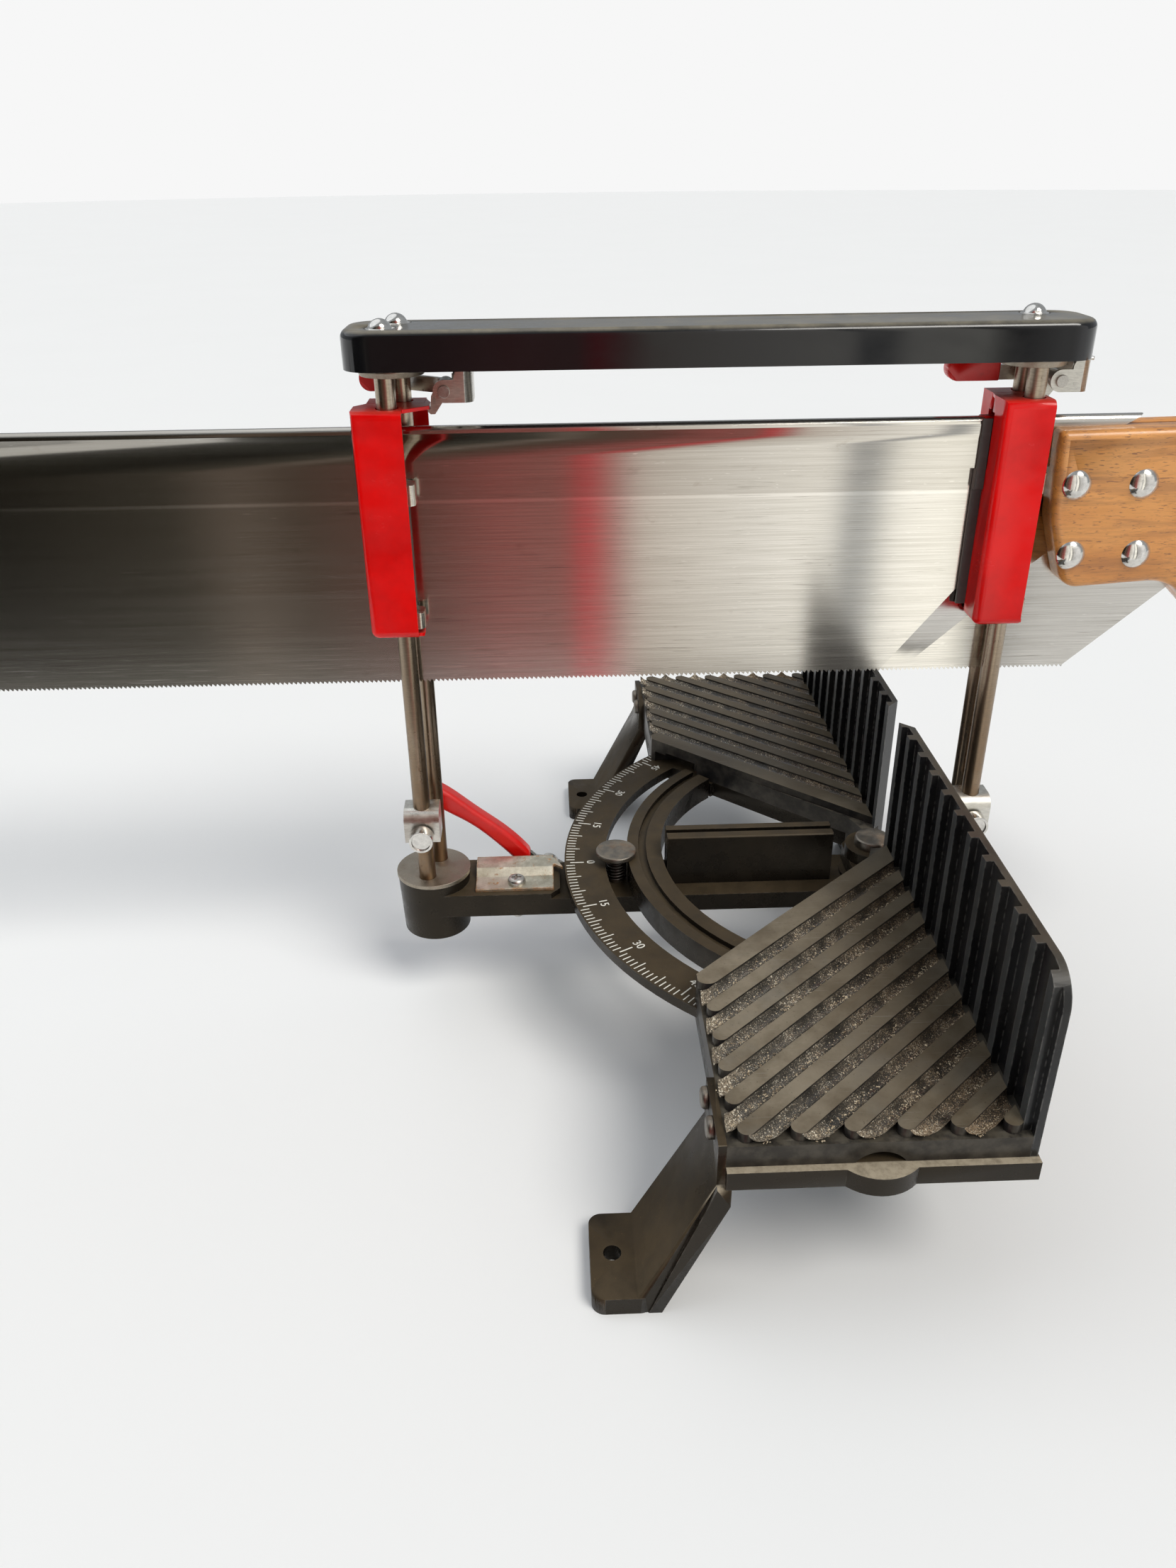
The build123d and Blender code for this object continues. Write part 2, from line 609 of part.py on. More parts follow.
def clamp_spring():
    """Flat coils round the bolt that lift its head off the ring."""
    group = []
    for k in range(5):
        z = BEAM_TOP + 0.4 + k * 2.2
        ring = Pos(CLAMP_X, 0, z + 0.5) * Torus(4.75, 0.45)
        group.append(ring)
    return Compound(children=group)


def build_lock():
    save("lock_lever", lock_lever())
    save("lock_grip", lock_grip())
    save("lock_pin", lock_pin())
    save("clamp_bolt", clamp_bolt())
    save("clamp_nut", clamp_nut())
    save("clamp_spring", clamp_spring())


# ---- blade guides: one pair of channels on each column ----
def guide_shell(x0, x1, y1, z0, z1, out, r):
    """Block with rounded edges on its outer face and at its lower left corner."""
    body = block(x0, x1, -out, y1, z0, z1)
    edges = [e for e in body.edges().filter_by(Axis.X) if e.center().Y < -out + 0.1]
    edges += [e for e in body.edges().filter_by(Axis.Z) if e.center().X < x0 + 0.1 and e.center().Y < -out + 0.1]
    edges += [e for e in body.edges().filter_by(Axis.Y) if e.center().X < x0 + 0.1 and e.center().Z < z0 + 0.1]
    return fillet(edges, r)


def guide_channel(x_left, x_right):
    """Front half: folded channel, open on the right, notched on the left for the spine."""
    t, inner = GUIDE_T, GUIDE_INNER
    outer = guide_shell(x_left, x_right, -inner, GUIDE_BOTTOM, GUIDE_TOP, GUIDE_Y, 3.5)
    hollow = guide_shell(x_left + t, x_right + 9, 4, GUIDE_BOTTOM + t, GUIDE_TOP - t, GUIDE_Y - t, 2.0)
    lip = block(x_right - 1, x_right + 2, -13, -6, GUIDE_BOTTOM, GUIDE_BOTTOM + t)
    return outer - hollow + lip - block(x_left - 1, x_left + 5, -5, 0, SPINE_BOTTOM - 0.1, SPINE_TOP + 2)


def tab_edge(rods, catch):
    """Edge of the top plate that the catch holds."""
    return rods[0] + catch - TAB_GAP


def guide_half(rod_x, reach, tab):
    channel = guide_channel(rod_x - GUIDE_LEFT, rod_x + reach)
    channel = channel - block(tab, tab + 20, -3.8, 0, GUIDE_TOP - 2, GUIDE_TOP + 1)
    return channel - disc(rod_x, -ROD_Y, 0, 400, ROD_R + 0.6)


def guide_bridge(rods, tab):
    """Top strip that joins the two halves, with a horn on the left column that reaches its catch."""
    front, rear = rods[0] + GUIDE_RIGHT[0], rods[1] + GUIDE_RIGHT[1]
    inner, low = GUIDE_INNER, GUIDE_TOP - GUIDE_T
    strip = [(rods[0] - GUIDE_LEFT, -inner), (front, -inner), (rear, inner), (rods[1] - GUIDE_LEFT, inner)]
    plate = plan(strip, low, GUIDE_TOP)
    if tab > rear:
        horn = [(front, -inner), (front, -GUIDE_Y + 5), (tab, -4), (tab, 4), (rear, GUIDE_Y - 5), (rear, inner)]
        plate = plate + plan(horn, low, GUIDE_TOP)
    return plate - block(tab, tab + 20, -3.8, 3.8, low - 1, GUIDE_TOP + 1)


def bearing_clip(rod_x, nose, z0, z1):
    """Clip inside the front channel, with a rounded nose past its open side."""
    body = block(rod_x - 10.4, rod_x + 5.4, -GUIDE_Y + GUIDE_T, -GUIDE_INNER, z0, z1)
    tongue = block(rod_x, rod_x + nose, -14, -4, z0, z1)
    tongue = fillet(upright_edges(tongue).sort_by(Axis.X)[-2:], 2.5)
    return body + tongue - disc(rod_x, -ROD_Y, 0, 400, ROD_R + RUN)


def guide_clips(rods):
    """Bearing clips, high and low in each channel, that run on the rods."""
    group = []
    for z0, z1 in CLIPS:
        group.append(bearing_clip(rods[0], 9.0, z0, z1))
        group.append(far_side(bearing_clip(rods[1], 8.0, z0, z1)))
    return Compound(children=group)


def liner(rod_x, lip):
    """Wear strip beside the blade; it stands out past the closed side and up beside the spine."""
    x0, x1 = rod_x - GUIDE_LEFT - lip, rod_x + 5.0
    z0, z1 = CLIPS[0][1], CLIPS[1][0]
    strip = block(x0, x1, -GUIDE_INNER, -BLADE_T / 2 - LINER_GAP, z0 - 5, SPINE_BOTTOM - 0.1)
    shelf = block(x0, x0 + lip, -4.6, -GUIDE_INNER, z1, SPINE_BOTTOM - 0.1)
    upright = block(x0, x0 + lip, -4.6, -SPINE_T / 2 - 0.2, z1, SPINE_TOP - 0.4)
    return strip + shelf + upright


def guide_liners(rods, lip):
    return Compound(children=[liner(rods[0], lip), far_side(liner(rods[1], lip))])


def build_guides():
    for side, rods, catch, grip in COLUMNS:
        tab = tab_edge(rods, catch)
        save(f"guide_{side}_front", guide_half(rods[0], GUIDE_RIGHT[0], tab))
        save(f"guide_{side}_rear", far_side(guide_half(rods[1], GUIDE_RIGHT[1], tab)))
        save(f"guide_{side}_bridge", guide_bridge(rods, tab))
        save(f"guide_{side}_clips", guide_clips(rods))
        save(f"guide_{side}_liners", guide_liners(rods, LINER_LIP[side]))


# ---- catches that hold the guides up ----
def catch_bracket(rivet):
    """Clip bent from strip, open to the left, with round tongues and a flange under the bar."""
    x1, half, t, r = rivet + 11.5, 8.0, 1.2, 4.4
    clip = across(rivet, CATCH_Z, -half, half, r)
    clip = clip + block(rivet, x1, -half, half, CATCH_Z - r, CATCH_Z + r)
    clip = clip + block(rivet + 4, x1, -half, half, CATCH_Z, BAR_BOTTOM - t)
    clip = fillet(upright_edges(clip).sort_by(Axis.X)[-2:], 3.5)
    clip = clip - block(rivet - 9, x1 - t, -half + t, half - t, 0, BAR_BOTTOM)
    clip = clip - block(rivet - 9, rivet + 2.4, 0, 20, 0, CATCH_Z + r + 1)
    clip = clip + rounded_box(rivet + 4.3, x1 + 0.5, -half, half, BAR_BOTTOM - t, BAR_BOTTOM, 1)
    return clip - across(rivet, CATCH_Z, -20, 0, RIVET_R)


def catch_rivets():
    group = []
    for side, rods, catch, grip in COLUMNS:
        x = rods[0] + catch
        pin = across(x, CATCH_Z, -9.2, 6.0, RIVET_R)
        group.append(pin + across(x, CATCH_Z, -9.2, -8.0, 2.4))
    return Compound(children=group)


def catch_lever(rods, rivet, grip):
    """Release lever: eye on the rivet, hook under the guide's tab, arm behind the column."""
    back = rods[1] + ROD_R
    z = CATCH_Z
    eye = across(rivet, z, -6.5, 6.5, 3.6)
    foot = rivet - TAB_GAP
    hook = profile([(foot - 0.7, z - 7.6), (foot - 0.7, z - 8.6), (foot + 0.3, z - 9.6), (rivet - 4.4, z - 9.6),
                    (rivet, z - 3.5), (rivet - 3.4, z + 1), (foot + 0.9, z - 2.5), (foot + 0.3, z - 7.6)],
                   -3.0, 3.0)
    link = plan([(rivet - 3.2, 4.5), (rivet + 2.2, 4.5), (rivet + 2.2, 6.5), (rivet - 0.6, 6.5),
                 (back - 0.6, 17.0), (back - 12, 17.0), (back - 12, 14.6), (back - 1.6, 14.6),
                 (rivet - 3.2, 6.4)], z - 3, z + 3)
    arm = block(rods[1] - grip + 3, back - 11, 14.6, 17.0, z - 3, z + 3)
    return eye + hook + link + arm - across(rivet, z, -20, 20, RIVET_R + RUN)


def catch_grip(rods, grip, lever):
    back = rods[1] + ROD_R
    pad = block(rods[1] - grip, back - 12.5, 12.7, 19.2, CATCH_Z - 3, CATCH_Z + 7)
    pad = fillet(pad.edges().filter_by(Axis.Y).sort_by(Axis.X)[:2], 4.6)
    pad = fillet(pad.edges().group_by(Axis.X)[-1], 1.0)
    return pad - lever


def build_catches():
    save("catch_rivets", catch_rivets())
    for side, rods, catch, grip in COLUMNS:
        rivet = rods[0] + catch
        lever = catch_lever(rods, rivet, grip)
        save(f"catch_bracket_{side}", catch_bracket(rivet))
        save(f"catch_lever_{side}", lever)
        save(f"catch_grip_{side}", catch_grip(rods, grip, lever))


# ---- depth stops ----
def depth_stop(rod_x):
    """Split block that clamps on the front rod under the guide."""
    stop = block(rod_x - 8.2, rod_x + 8.2, -15.5, -2.2, STOP_BOTTOM, STOP_TOP)
    stop = fillet(stop.edges().filter_by(Axis.X).sort_by(lambda e: e.center().Z - e.center().Y)[-1:], 6)
    stop = stop - disc(rod_x, -ROD_Y, 0, 400, ROD_R + RUN)
    stop = stop - block(rod_x - 0.8, rod_x + 0.8, -4.5, 0, 0, 400)
    return stop - across(rod_x, THUMB_Z, -20, -ROD_Y, 2.5 + RUN)


def thumb_screw(rod_x):
    """Knurled screw with a dished head; its tip bears on the rod."""
    head = across(rod_x, THUMB_Z, -23.1, -16.8, THUMB_R)
    head = head - across(rod_x, THUMB_Z, -23.6, -22.3, THUMB_R - 1.2)
    neck = across(rod_x, THUMB_Z, -16.8, -15.8, 3.2)
    stem = across(rod_x, THUMB_Z, -15.8, -ROD_Y - ROD_R - RUN, 2.5)
    return head + neck + stem


def build_stops():
    for side, rods in (("left", LEFT_RODS), ("right", RIGHT_RODS)):
        save(f"depth_stop_{side}", depth_stop(rods[0]))
        save(f"thumb_screw_{side}", thumb_screw(rods[0]))


# ---- saw ----
def tooth_points():
    """Zigzag of the teeth, from the toe to the heel."""
    points = []
    count = int((HEEL_X - TOE_X) / TOOTH_PITCH)
    for k in range(count):
        x = TOE_X + k * TOOTH_PITCH
        points.append((x, TOOTH_LINE + TOOTH_DEPTH))
        points.append((x + 0.7 * TOOTH_PITCH, TOOTH_LINE))
    points.append((HEEL_X, TOOTH_LINE + TOOTH_DEPTH))
    return points


def blade():
    outline = tooth_points() + [(118, 206), (118, BLADE_TOP - 20), (SPINE_END - 14, BLADE_TOP), (TOE_X, BLADE_TOP)]
    plate = profile(outline, -BLADE_T / 2, BLADE_T / 2)
    for x, z in HANDLE_SCREWS:
        plate = plate - across(x, z, -10, 10, 2.6 + FIT)
    return plate


def spine():
    """Steel strip folded over the blade's top edge."""
    half = SPINE_T / 2
    fold = block(TOE_X, SPINE_END, -half, half, SPINE_BOTTOM, SPINE_TOP)
    fold = fillet(fold.edges().filter_by(Axis.X).group_by(Axis.Z)[-1], half - 0.2)
    fold = fold - block(TOE_X - 1, SPINE_END + 1, -BLADE_T / 2, BLADE_T / 2, 0, BLADE_TOP)
    end_cut = profile([(SPINE_END - 14, 255), (SPINE_END + 1, 255), (SPINE_END + 1, SPINE_TOP + 0.6),
                       (SPINE_END, SPINE_TOP), (SPINE_END - 13, SPINE_TOP - 7)], -10, 10)
    toe_cut = profile([(TOE_X - 1, SPINE_BOTTOM - 1), (TOE_X + 3, SPINE_BOTTOM - 1), (TOE_X - 1, SPINE_BOTTOM + 4)],
                      -10, 10)
    return fold - end_cut - toe_cut


def rounded_polygon(points):
    """Face from corners given as (x, z, radius)."""
    corners = [(x, z) for x, z, r in points]
    return make_face(FilletPolyline(*corners, radius=[r for x, z, r in points], close=True))


def handle():
    """Closed beech handle with a slot for the blade and a seat for the spine."""
    side = Plane.XZ.offset(-HANDLE_HALF_T)
    body = extrude(side * rounded_polygon(HANDLE_OUTLINE), 2 * HANDLE_HALF_T)
    body = fillet([e for e in body.edges() if abs(abs(e.center().Y) - HANDLE_HALF_T) < 0.01], 3.5)
    hole = extrude(side * rounded_polygon(HAND_HOLE), 2 * HANDLE_HALF_T)
    rims = [e.center() for e in hole.edges() if abs(abs(e.center().Y) - HANDLE_HALF_T) < 0.01]
    body = body - hole
    body = fillet([e for e in body.edges() if min((e.center() - c).length for c in rims) < 0.01], 8)
    body = body - block(40, 119, -BLADE_T / 2 - 0.02, BLADE_T / 2 + 0.02, 150, 300)
    half = SPINE_T / 2 + 0.02
    seat = [(40, SPINE_BOTTOM - 0.1), (SPINE_END - 13.7, SPINE_BOTTOM - 0.1), (SPINE_END - 12.9, SPINE_TOP - 7.1),
            (SPINE_END + 0.2, SPINE_TOP), (SPINE_END + 0.2, 300), (40, 300)]
    body = body - profile(seat, -half, half)
    for x, z in HANDLE_SCREWS:
        body = body - across(x, z, -40, 40, 2.6 + FIT)
    return body


def handle_screws():
    """Domed barrel screws, near side."""
    group = []
    for x, z in HANDLE_SCREWS:
        group.append(dome(x, z, -HANDLE_HALF_T) + across(x, z, -HANDLE_HALF_T, 4, 2.6))
    return Compound(children=group)


def handle_nuts():
    """Domed barrel nuts, far side."""
    group = []
    for x, z in HANDLE_SCREWS:
        group.append(dome(x, z, HANDLE_HALF_T) + across(x, z, 4, HANDLE_HALF_T, 2.6))
    return Compound(children=group)


def dome(x, z, y):
    """Shallow round head of radius 6.2 standing 3 mm off the handle's face."""
    rise, r = 3.0, 6.2
    ball_r = (r * r + rise * rise) / (2 * rise)
    sign = 1 if y > 0 else -1
    ball = Pos(x, y - sign * (ball_r - rise), z) * Sphere(ball_r)
    return ball & block(x - 8, x + 8, min(y, y + 5 * sign), max(y, y + 5 * sign), z - 8, z + 8)


def build_saw():
    save("blade", blade())
    save("spine", spine())
    save("handle", handle())
    save("handle_screws", handle_screws())
    save("handle_nuts", handle_nuts())


build_base()
build_arm()
build_lock()
build_guides()
build_catches()
build_stops()
build_saw()
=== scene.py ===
"""Hand precision mitre saw: materials, fine detail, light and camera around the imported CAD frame."""
import json
import math
import random

import bmesh
import bpy
from mathutils import Matrix, Vector, noise


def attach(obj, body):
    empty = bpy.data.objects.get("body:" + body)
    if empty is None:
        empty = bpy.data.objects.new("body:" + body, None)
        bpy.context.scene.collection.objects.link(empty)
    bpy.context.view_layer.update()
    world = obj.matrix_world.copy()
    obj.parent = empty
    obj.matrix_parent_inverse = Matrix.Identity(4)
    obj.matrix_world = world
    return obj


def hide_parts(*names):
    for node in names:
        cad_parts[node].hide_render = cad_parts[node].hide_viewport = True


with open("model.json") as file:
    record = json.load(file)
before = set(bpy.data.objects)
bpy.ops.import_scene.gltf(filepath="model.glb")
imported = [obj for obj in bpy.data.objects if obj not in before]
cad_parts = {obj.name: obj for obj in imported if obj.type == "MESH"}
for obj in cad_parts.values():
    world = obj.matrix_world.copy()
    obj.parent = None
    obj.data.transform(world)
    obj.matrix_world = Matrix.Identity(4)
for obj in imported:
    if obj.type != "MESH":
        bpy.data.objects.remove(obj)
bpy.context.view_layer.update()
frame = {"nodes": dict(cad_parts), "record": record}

MM = 0.001
PIVOT_X = 138.4          # swing pivot, mm along X in the row frame


def at(x, y, z):
    """Row-frame point in metres from millimetres about the swing pivot."""
    return Vector(((PIVOT_X + x) * MM, y * MM, z * MM))


# ---------------------------------------------------------------- shader helper
class Shade:
    """A Principled material with short calls that add nodes. Sizes are in mm."""

    def __init__(self, name, color, rough, metal=0.0, **sockets):
        self.mat = bpy.data.materials.new(name)
        self.mat.use_nodes = True
        self.tree = self.mat.node_tree
        self.bsdf = self.tree.nodes["Principled BSDF"]
        self.bsdf.inputs["Base Color"].default_value = (*color, 1)
        self.bsdf.inputs["Roughness"].default_value = rough
        self.bsdf.inputs["Metallic"].default_value = metal
        for socket, value in sockets.items():
            self.bsdf.inputs[socket.replace("_", " ")].default_value = value
        self.coords = self.add("ShaderNodeTexCoord").outputs["Object"]
        self.normal = self.add("ShaderNodeNewGeometry").outputs["Normal"]

    def add(self, kind, **props):
        node = self.tree.nodes.new(kind)
        for key, value in props.items():
            setattr(node, key, value)
        return node

    def put(self, socket, value):
        if isinstance(value, bpy.types.NodeSocket):
            self.tree.links.new(value, socket)
        elif isinstance(value, tuple) and len(value) == 3 and socket.type == "RGBA":
            socket.default_value = (*value, 1)
        else:
            socket.default_value = value

    def feed(self, name, value):
        self.put(self.bsdf.inputs[name], value)
        return self

    def axis(self, letter, vector=None):
        split = self.add("ShaderNodeSeparateXYZ")
        self.put(split.inputs[0], vector or self.coords)
        return split.outputs[letter]

    def noise(self, size, stretch=(1, 1, 1), detail=4.0, rough=0.6, shift=0.0, distort=0.0):
        """Noise with features about size mm across, longer along an axis by its stretch."""
        mapping = self.add("ShaderNodeMapping")
        self.put(mapping.inputs["Vector"], self.coords)
        mapping.inputs["Location"].default_value = (shift, shift * 0.7, shift * 1.3)
        mapping.inputs["Scale"].default_value = tuple(1 / s for s in stretch)
        tex = self.add("ShaderNodeTexNoise")
        self.put(tex.inputs["Vector"], mapping.outputs[0])
        tex.inputs["Scale"].default_value = 1000.0 / size
        tex.inputs["Detail"].default_value = detail
        tex.inputs["Roughness"].default_value = rough
        tex.inputs["Distortion"].default_value = distort
        return tex.outputs["Fac"]

    def cells(self, size, stretch=(1, 1, 1), output="Color"):
        mapping = self.add("ShaderNodeMapping")
        self.put(mapping.inputs["Vector"], self.coords)
        mapping.inputs["Scale"].default_value = tuple(1 / s for s in stretch)
        tex = self.add("ShaderNodeTexVoronoi")
        self.put(tex.inputs["Vector"], mapping.outputs[0])
        tex.inputs["Scale"].default_value = 1000.0 / size
        return tex.outputs[output]

    def span(self, value, low, high, out_low=0.0, out_high=1.0):
        """Smooth step of value from low to high."""
        node = self.add("ShaderNodeMapRange", interpolation_type="SMOOTHSTEP")
        for name, number in (("From Min", low), ("From Max", high), ("To Min", out_low), ("To Max", out_high)):
            node.inputs[name].default_value = number
        self.put(node.inputs["Value"], value)
        return node.outputs["Result"]

    def calc(self, op, a, b=0.0):
        node = self.add("ShaderNodeMath", operation=op)
        self.put(node.inputs[0], a)
        self.put(node.inputs[1], b)
        return node.outputs[0]

    def times(self, *values):
        total = values[0]
        for value in values[1:]:
            total = self.calc("MULTIPLY", total, value)
        return total

    def mix(self, factor, a, b):
        node = self.add("ShaderNodeMix", data_type="RGBA")
        self.put(node.inputs["Factor"], factor)
        self.put(node.inputs["A"], a)
        self.put(node.inputs["B"], b)
        return node.outputs["Result"]

    def blend(self, factor, a, b):
        node = self.add("ShaderNodeMix", data_type="FLOAT")
        self.put(node.inputs["Factor"], factor)
        self.put(node.inputs["A"], a)
        self.put(node.inputs["B"], b)
        return node.outputs["Result"]

    def bump(self, height, depth, strength=1.0):
        """Chains a bump of depth mm after any earlier one."""
        node = self.add("ShaderNodeBump")
        node.inputs["Distance"].default_value = depth * MM
        node.inputs["Strength"].default_value = strength
        self.put(node.inputs["Height"], height)
        link = self.bsdf.inputs["Normal"].links
        if link:
            self.put(node.inputs["Normal"], link[0].from_socket)
        self.put(self.bsdf.inputs["Normal"], node.outputs[0])
        return self

    def up(self, low=0.55, high=0.95):
        """1 where the surface faces up."""
        return self.span(self.axis("Z", self.normal), low, high)

    def edges(self, radius=0.8):
        """1 on sharp edges, for wear."""
        round_normal = self.add("ShaderNodeBevel", samples=4)
        round_normal.inputs["Radius"].default_value = radius * MM
        dot = self.add("ShaderNodeVectorMath", operation="DOT_PRODUCT")
        self.put(dot.inputs[0], round_normal.outputs[0])
        self.put(dot.inputs[1], self.normal)
        return self.span(dot.outputs["Value"], 0.995, 0.9)


DUST = (0.105, 0.088, 0.062)
WARM_GLOSS = (1.0, 0.86, 0.66, 1.0)
SAWDUST = (0.33, 0.20, 0.085)
SAWDUST_PALE = (0.60, 0.44, 0.26)


def dusty(s, color, rough, amount, dust=DUST, size=14):
    """Adds a film of dust on what faces up, with grains of sawdust in it."""
    film = s.span(s.noise(size, detail=8, rough=0.7), 0.3, 0.75)
    film = s.times(s.up(), s.calc("ADD", s.times(film, 0.6), 0.4), amount)
    grain = s.span(s.noise(0.7, detail=3, shift=3), 0.66, 0.74)
    grain = s.times(grain, s.up(), s.span(s.noise(22, shift=5), 0.45, 0.65), amount)
    tint = s.mix(film, color, dust)
    tint = s.mix(grain, tint, SAWDUST)
    s.feed("Base Color", tint)
    s.feed("Roughness", s.blend(film, rough, 0.85))
    return s


def casting(name):
    """Black enamel over a die casting, brown with dust on top and dustiest on the ledges past the tables."""
    s = Shade(name, (0.010, 0.010, 0.010), 0.3, Specular_IOR_Level=0.26, Coat_Weight=0.04, Coat_Roughness=0.15,
              Specular_Tint=WARM_GLOSS)
    shade = s.mix(s.span(s.noise(40, detail=6), 0.3, 0.7), (0.007, 0.006, 0.005), (0.017, 0.013, 0.009))
    wear = s.times(s.edges(0.7), s.span(s.noise(4, detail=5, shift=2), 0.42, 0.62), 0.5)
    shade = s.mix(wear, shade, (0.15, 0.13, 0.11))
    lean = s.span(s.noise(9, detail=7, shift=6), 0.3, 0.7, 0.3, 0.9)
    lean = s.times(s.span(s.axis("Z", s.normal), 0.1, 0.6), lean)
    shade = s.mix(s.times(lean, 0.5), shade, (0.055, 0.038, 0.020))
    rough = s.span(s.noise(9, detail=6, shift=4), 0.3, 0.7, 0.2, 0.4)
    dusty(s, shade, rough, 0.75, (0.080, 0.058, 0.033))
    color = s.bsdf.inputs["Base Color"].links[0].from_socket
    past_table = s.span(s.calc("ABSOLUTE", s.axis("Y")), 0.1995, 0.2003)
    end = s.times(past_table, s.up(), s.span(s.axis("Z"), 0.05, 0.06))
    end = s.times(end, s.span(s.noise(3.5, detail=7, rough=0.7, shift=9), 0.3, 0.6, 0.55, 1.0))
    s.feed("Base Color", s.mix(end, color, (0.40, 0.34, 0.25)))
    s.bump(s.noise(1.3, detail=3), 0.04, 0.3)
    s.bump(s.noise(12, detail=3, shift=7), 0.2, 0.22)
    return s.mat


def table_casting(name):
    """Casting whose rib tops are rubbed grey, with a painted bluish sheen and painted shade on them, with dark
    flanks.
    """
    s = Shade(name, (0.02, 0.02, 0.02), 0.35, Specular_IOR_Level=0.42, Specular_Tint=WARM_GLOSS)
    z = s.axis("Z")
    top = s.times(s.span(z, 0.0826, 0.0831), s.up(0.8, 0.97))
    cloud = s.noise(26, detail=7, rough=0.65)
    rib_tone = s.mix(s.span(cloud, 0.3, 0.7), (0.115, 0.092, 0.062), (0.245, 0.210, 0.155))
    # painted sky reflection: bluish patches on the rib tops
    painted_sky_reflection_patch = s.span(s.noise(34, detail=5, shift=11), 0.5, 0.7)
    rib_tone = s.mix(s.times(painted_sky_reflection_patch, 0.3), rib_tone, (0.160, 0.170, 0.168))
    # painted shade: the rib tops darker on the far table and darker towards the fence
    rib_tone = s.mix(s.span(s.axis("Y"), 0.02, 0.10, 0.0, 0.75), rib_tone, (0.062, 0.047, 0.029))
    rib_tone = s.mix(s.span(s.axis("X"), 0.055, 0.12, 0.0, 0.62), rib_tone, (0.060, 0.045, 0.027))
    speck = s.span(s.noise(1.1, detail=4, shift=2), 0.62, 0.72)
    rib_tone = s.mix(s.times(speck, 0.5), rib_tone, (0.035, 0.030, 0.024))
    scratch = s.span(s.noise(0.5, stretch=(40, 1.2, 1), detail=2, shift=6), 0.66, 0.72)
    rib_tone = s.mix(s.times(scratch, 0.35), rib_tone, (0.26, 0.24, 0.21))
    side = s.mix(s.span(s.noise(7, detail=6, shift=1), 0.35, 0.7), (0.012, 0.012, 0.013), (0.05, 0.045, 0.038))
    ledge = s.times(s.up(0.6, 0.95), s.span(z, 0.0826, 0.0822))
    side = s.mix(s.times(ledge, s.span(s.noise(6, shift=8), 0.3, 0.6), 0.6), side, (0.12, 0.105, 0.08))
    color = s.mix(top, side, rib_tone)
    s.feed("Base Color", color)
    s.feed("Roughness", s.blend(top, 0.3, s.span(cloud, 0.3, 0.75, 0.36, 0.58)))
    s.bump(s.noise(0.9, detail=3), 0.04, 0.3)
    s.bump(s.noise(9, detail=2, shift=4), 0.2, 0.2)
    return s.mat


def fence_casting(name):
    """Casting whose rib faces and top edge are rubbed grey."""
    s = Shade(name, (0.010, 0.010, 0.010), 0.28, Specular_IOR_Level=0.35, Coat_Weight=0.1, Coat_Roughness=0.12)
    x = s.axis("X")
    face = s.times(s.span(x, 0.1419, 0.1415), s.span(s.axis("X", s.normal), -0.8, -0.97))
    cloud = s.noise(16, stretch=(1, 1, 3), detail=6)
    rib_tone = s.mix(s.span(cloud, 0.32, 0.68), (0.024, 0.026, 0.027), (0.055, 0.058, 0.058))
    tide = s.span(s.noise(30, detail=5, shift=2), 0.3, 0.7)
    plain = s.mix(tide, (0.009, 0.009, 0.010), (0.020, 0.019, 0.018))
    rub = s.times(s.edges(0.8), s.span(s.noise(3, detail=5, shift=3), 0.4, 0.6), 0.6)
    color = s.mix(rub, s.mix(face, plain, rib_tone), (0.23, 0.22, 0.20))
    dusty(s, color, s.blend(face, 0.22, 0.42), 0.75)
    s.bump(s.noise(1.2, detail=3), 0.04, 0.3)
    s.bump(s.noise(10, detail=3, shift=5), 0.25, 0.22)
    return s.mat


def enamel(name, tone, dust_amount=0.8, rough=0.12, dust=DUST, coat=0.5):
    """Gloss enamel with dust on top and chipped edges."""
    s = Shade(name, tone, rough, Specular_IOR_Level=0.3, Coat_Weight=coat, Coat_Roughness=0.05)
    shade = s.mix(s.span(s.noise(35, detail=5), 0.3, 0.7), tone, tuple(c * 0.72 for c in tone))
    chip = s.times(s.edges(0.5), s.span(s.noise(2.6, detail=6, shift=2), 0.55, 0.63))
    shade = s.mix(s.times(chip, 0.8), shade, (0.10, 0.095, 0.09))
    smear = s.span(s.noise(12, stretch=(2, 2, 1), detail=7, shift=4), 0.35, 0.75, rough, rough + 0.16)
    dusty(s, shade, smear, dust_amount, dust)
    s.bump(s.noise(3.5, detail=3), 0.05, 0.18)
    return s.mat


def steel(name, tone, rough, stretch=(1, 1, 1), grain=0.5, stain=(0.20, 0.13, 0.08), stained=0.25, dust=0.3):
    """Worn steel with grain along an axis, stains and a little dust."""
    s = Shade(name, tone, rough, 1.0)
    fine = s.noise(grain, stretch=stretch, detail=3)
    cloud = s.noise(11, detail=7, rough=0.7, shift=3)
    shade = s.mix(s.span(fine, 0.3, 0.7), tuple(c * 0.8 for c in tone), tone)
    shade = s.mix(s.times(s.span(cloud, 0.5, 0.72), stained), shade, stain)
    film = s.times(s.up(), s.span(s.noise(5, detail=6, shift=6), 0.35, 0.7), dust)
    s.feed("Base Color", s.mix(film, shade, (0.23, 0.19, 0.14)))
    s.feed("Metallic", s.blend(film, 1.0, 0.2))
    s.feed("Roughness", s.span(cloud, 0.3, 0.75, rough * 0.75, min(rough * 1.5, 0.9)))
    s.bump(fine, 0.015, 0.5)
    return s.mat


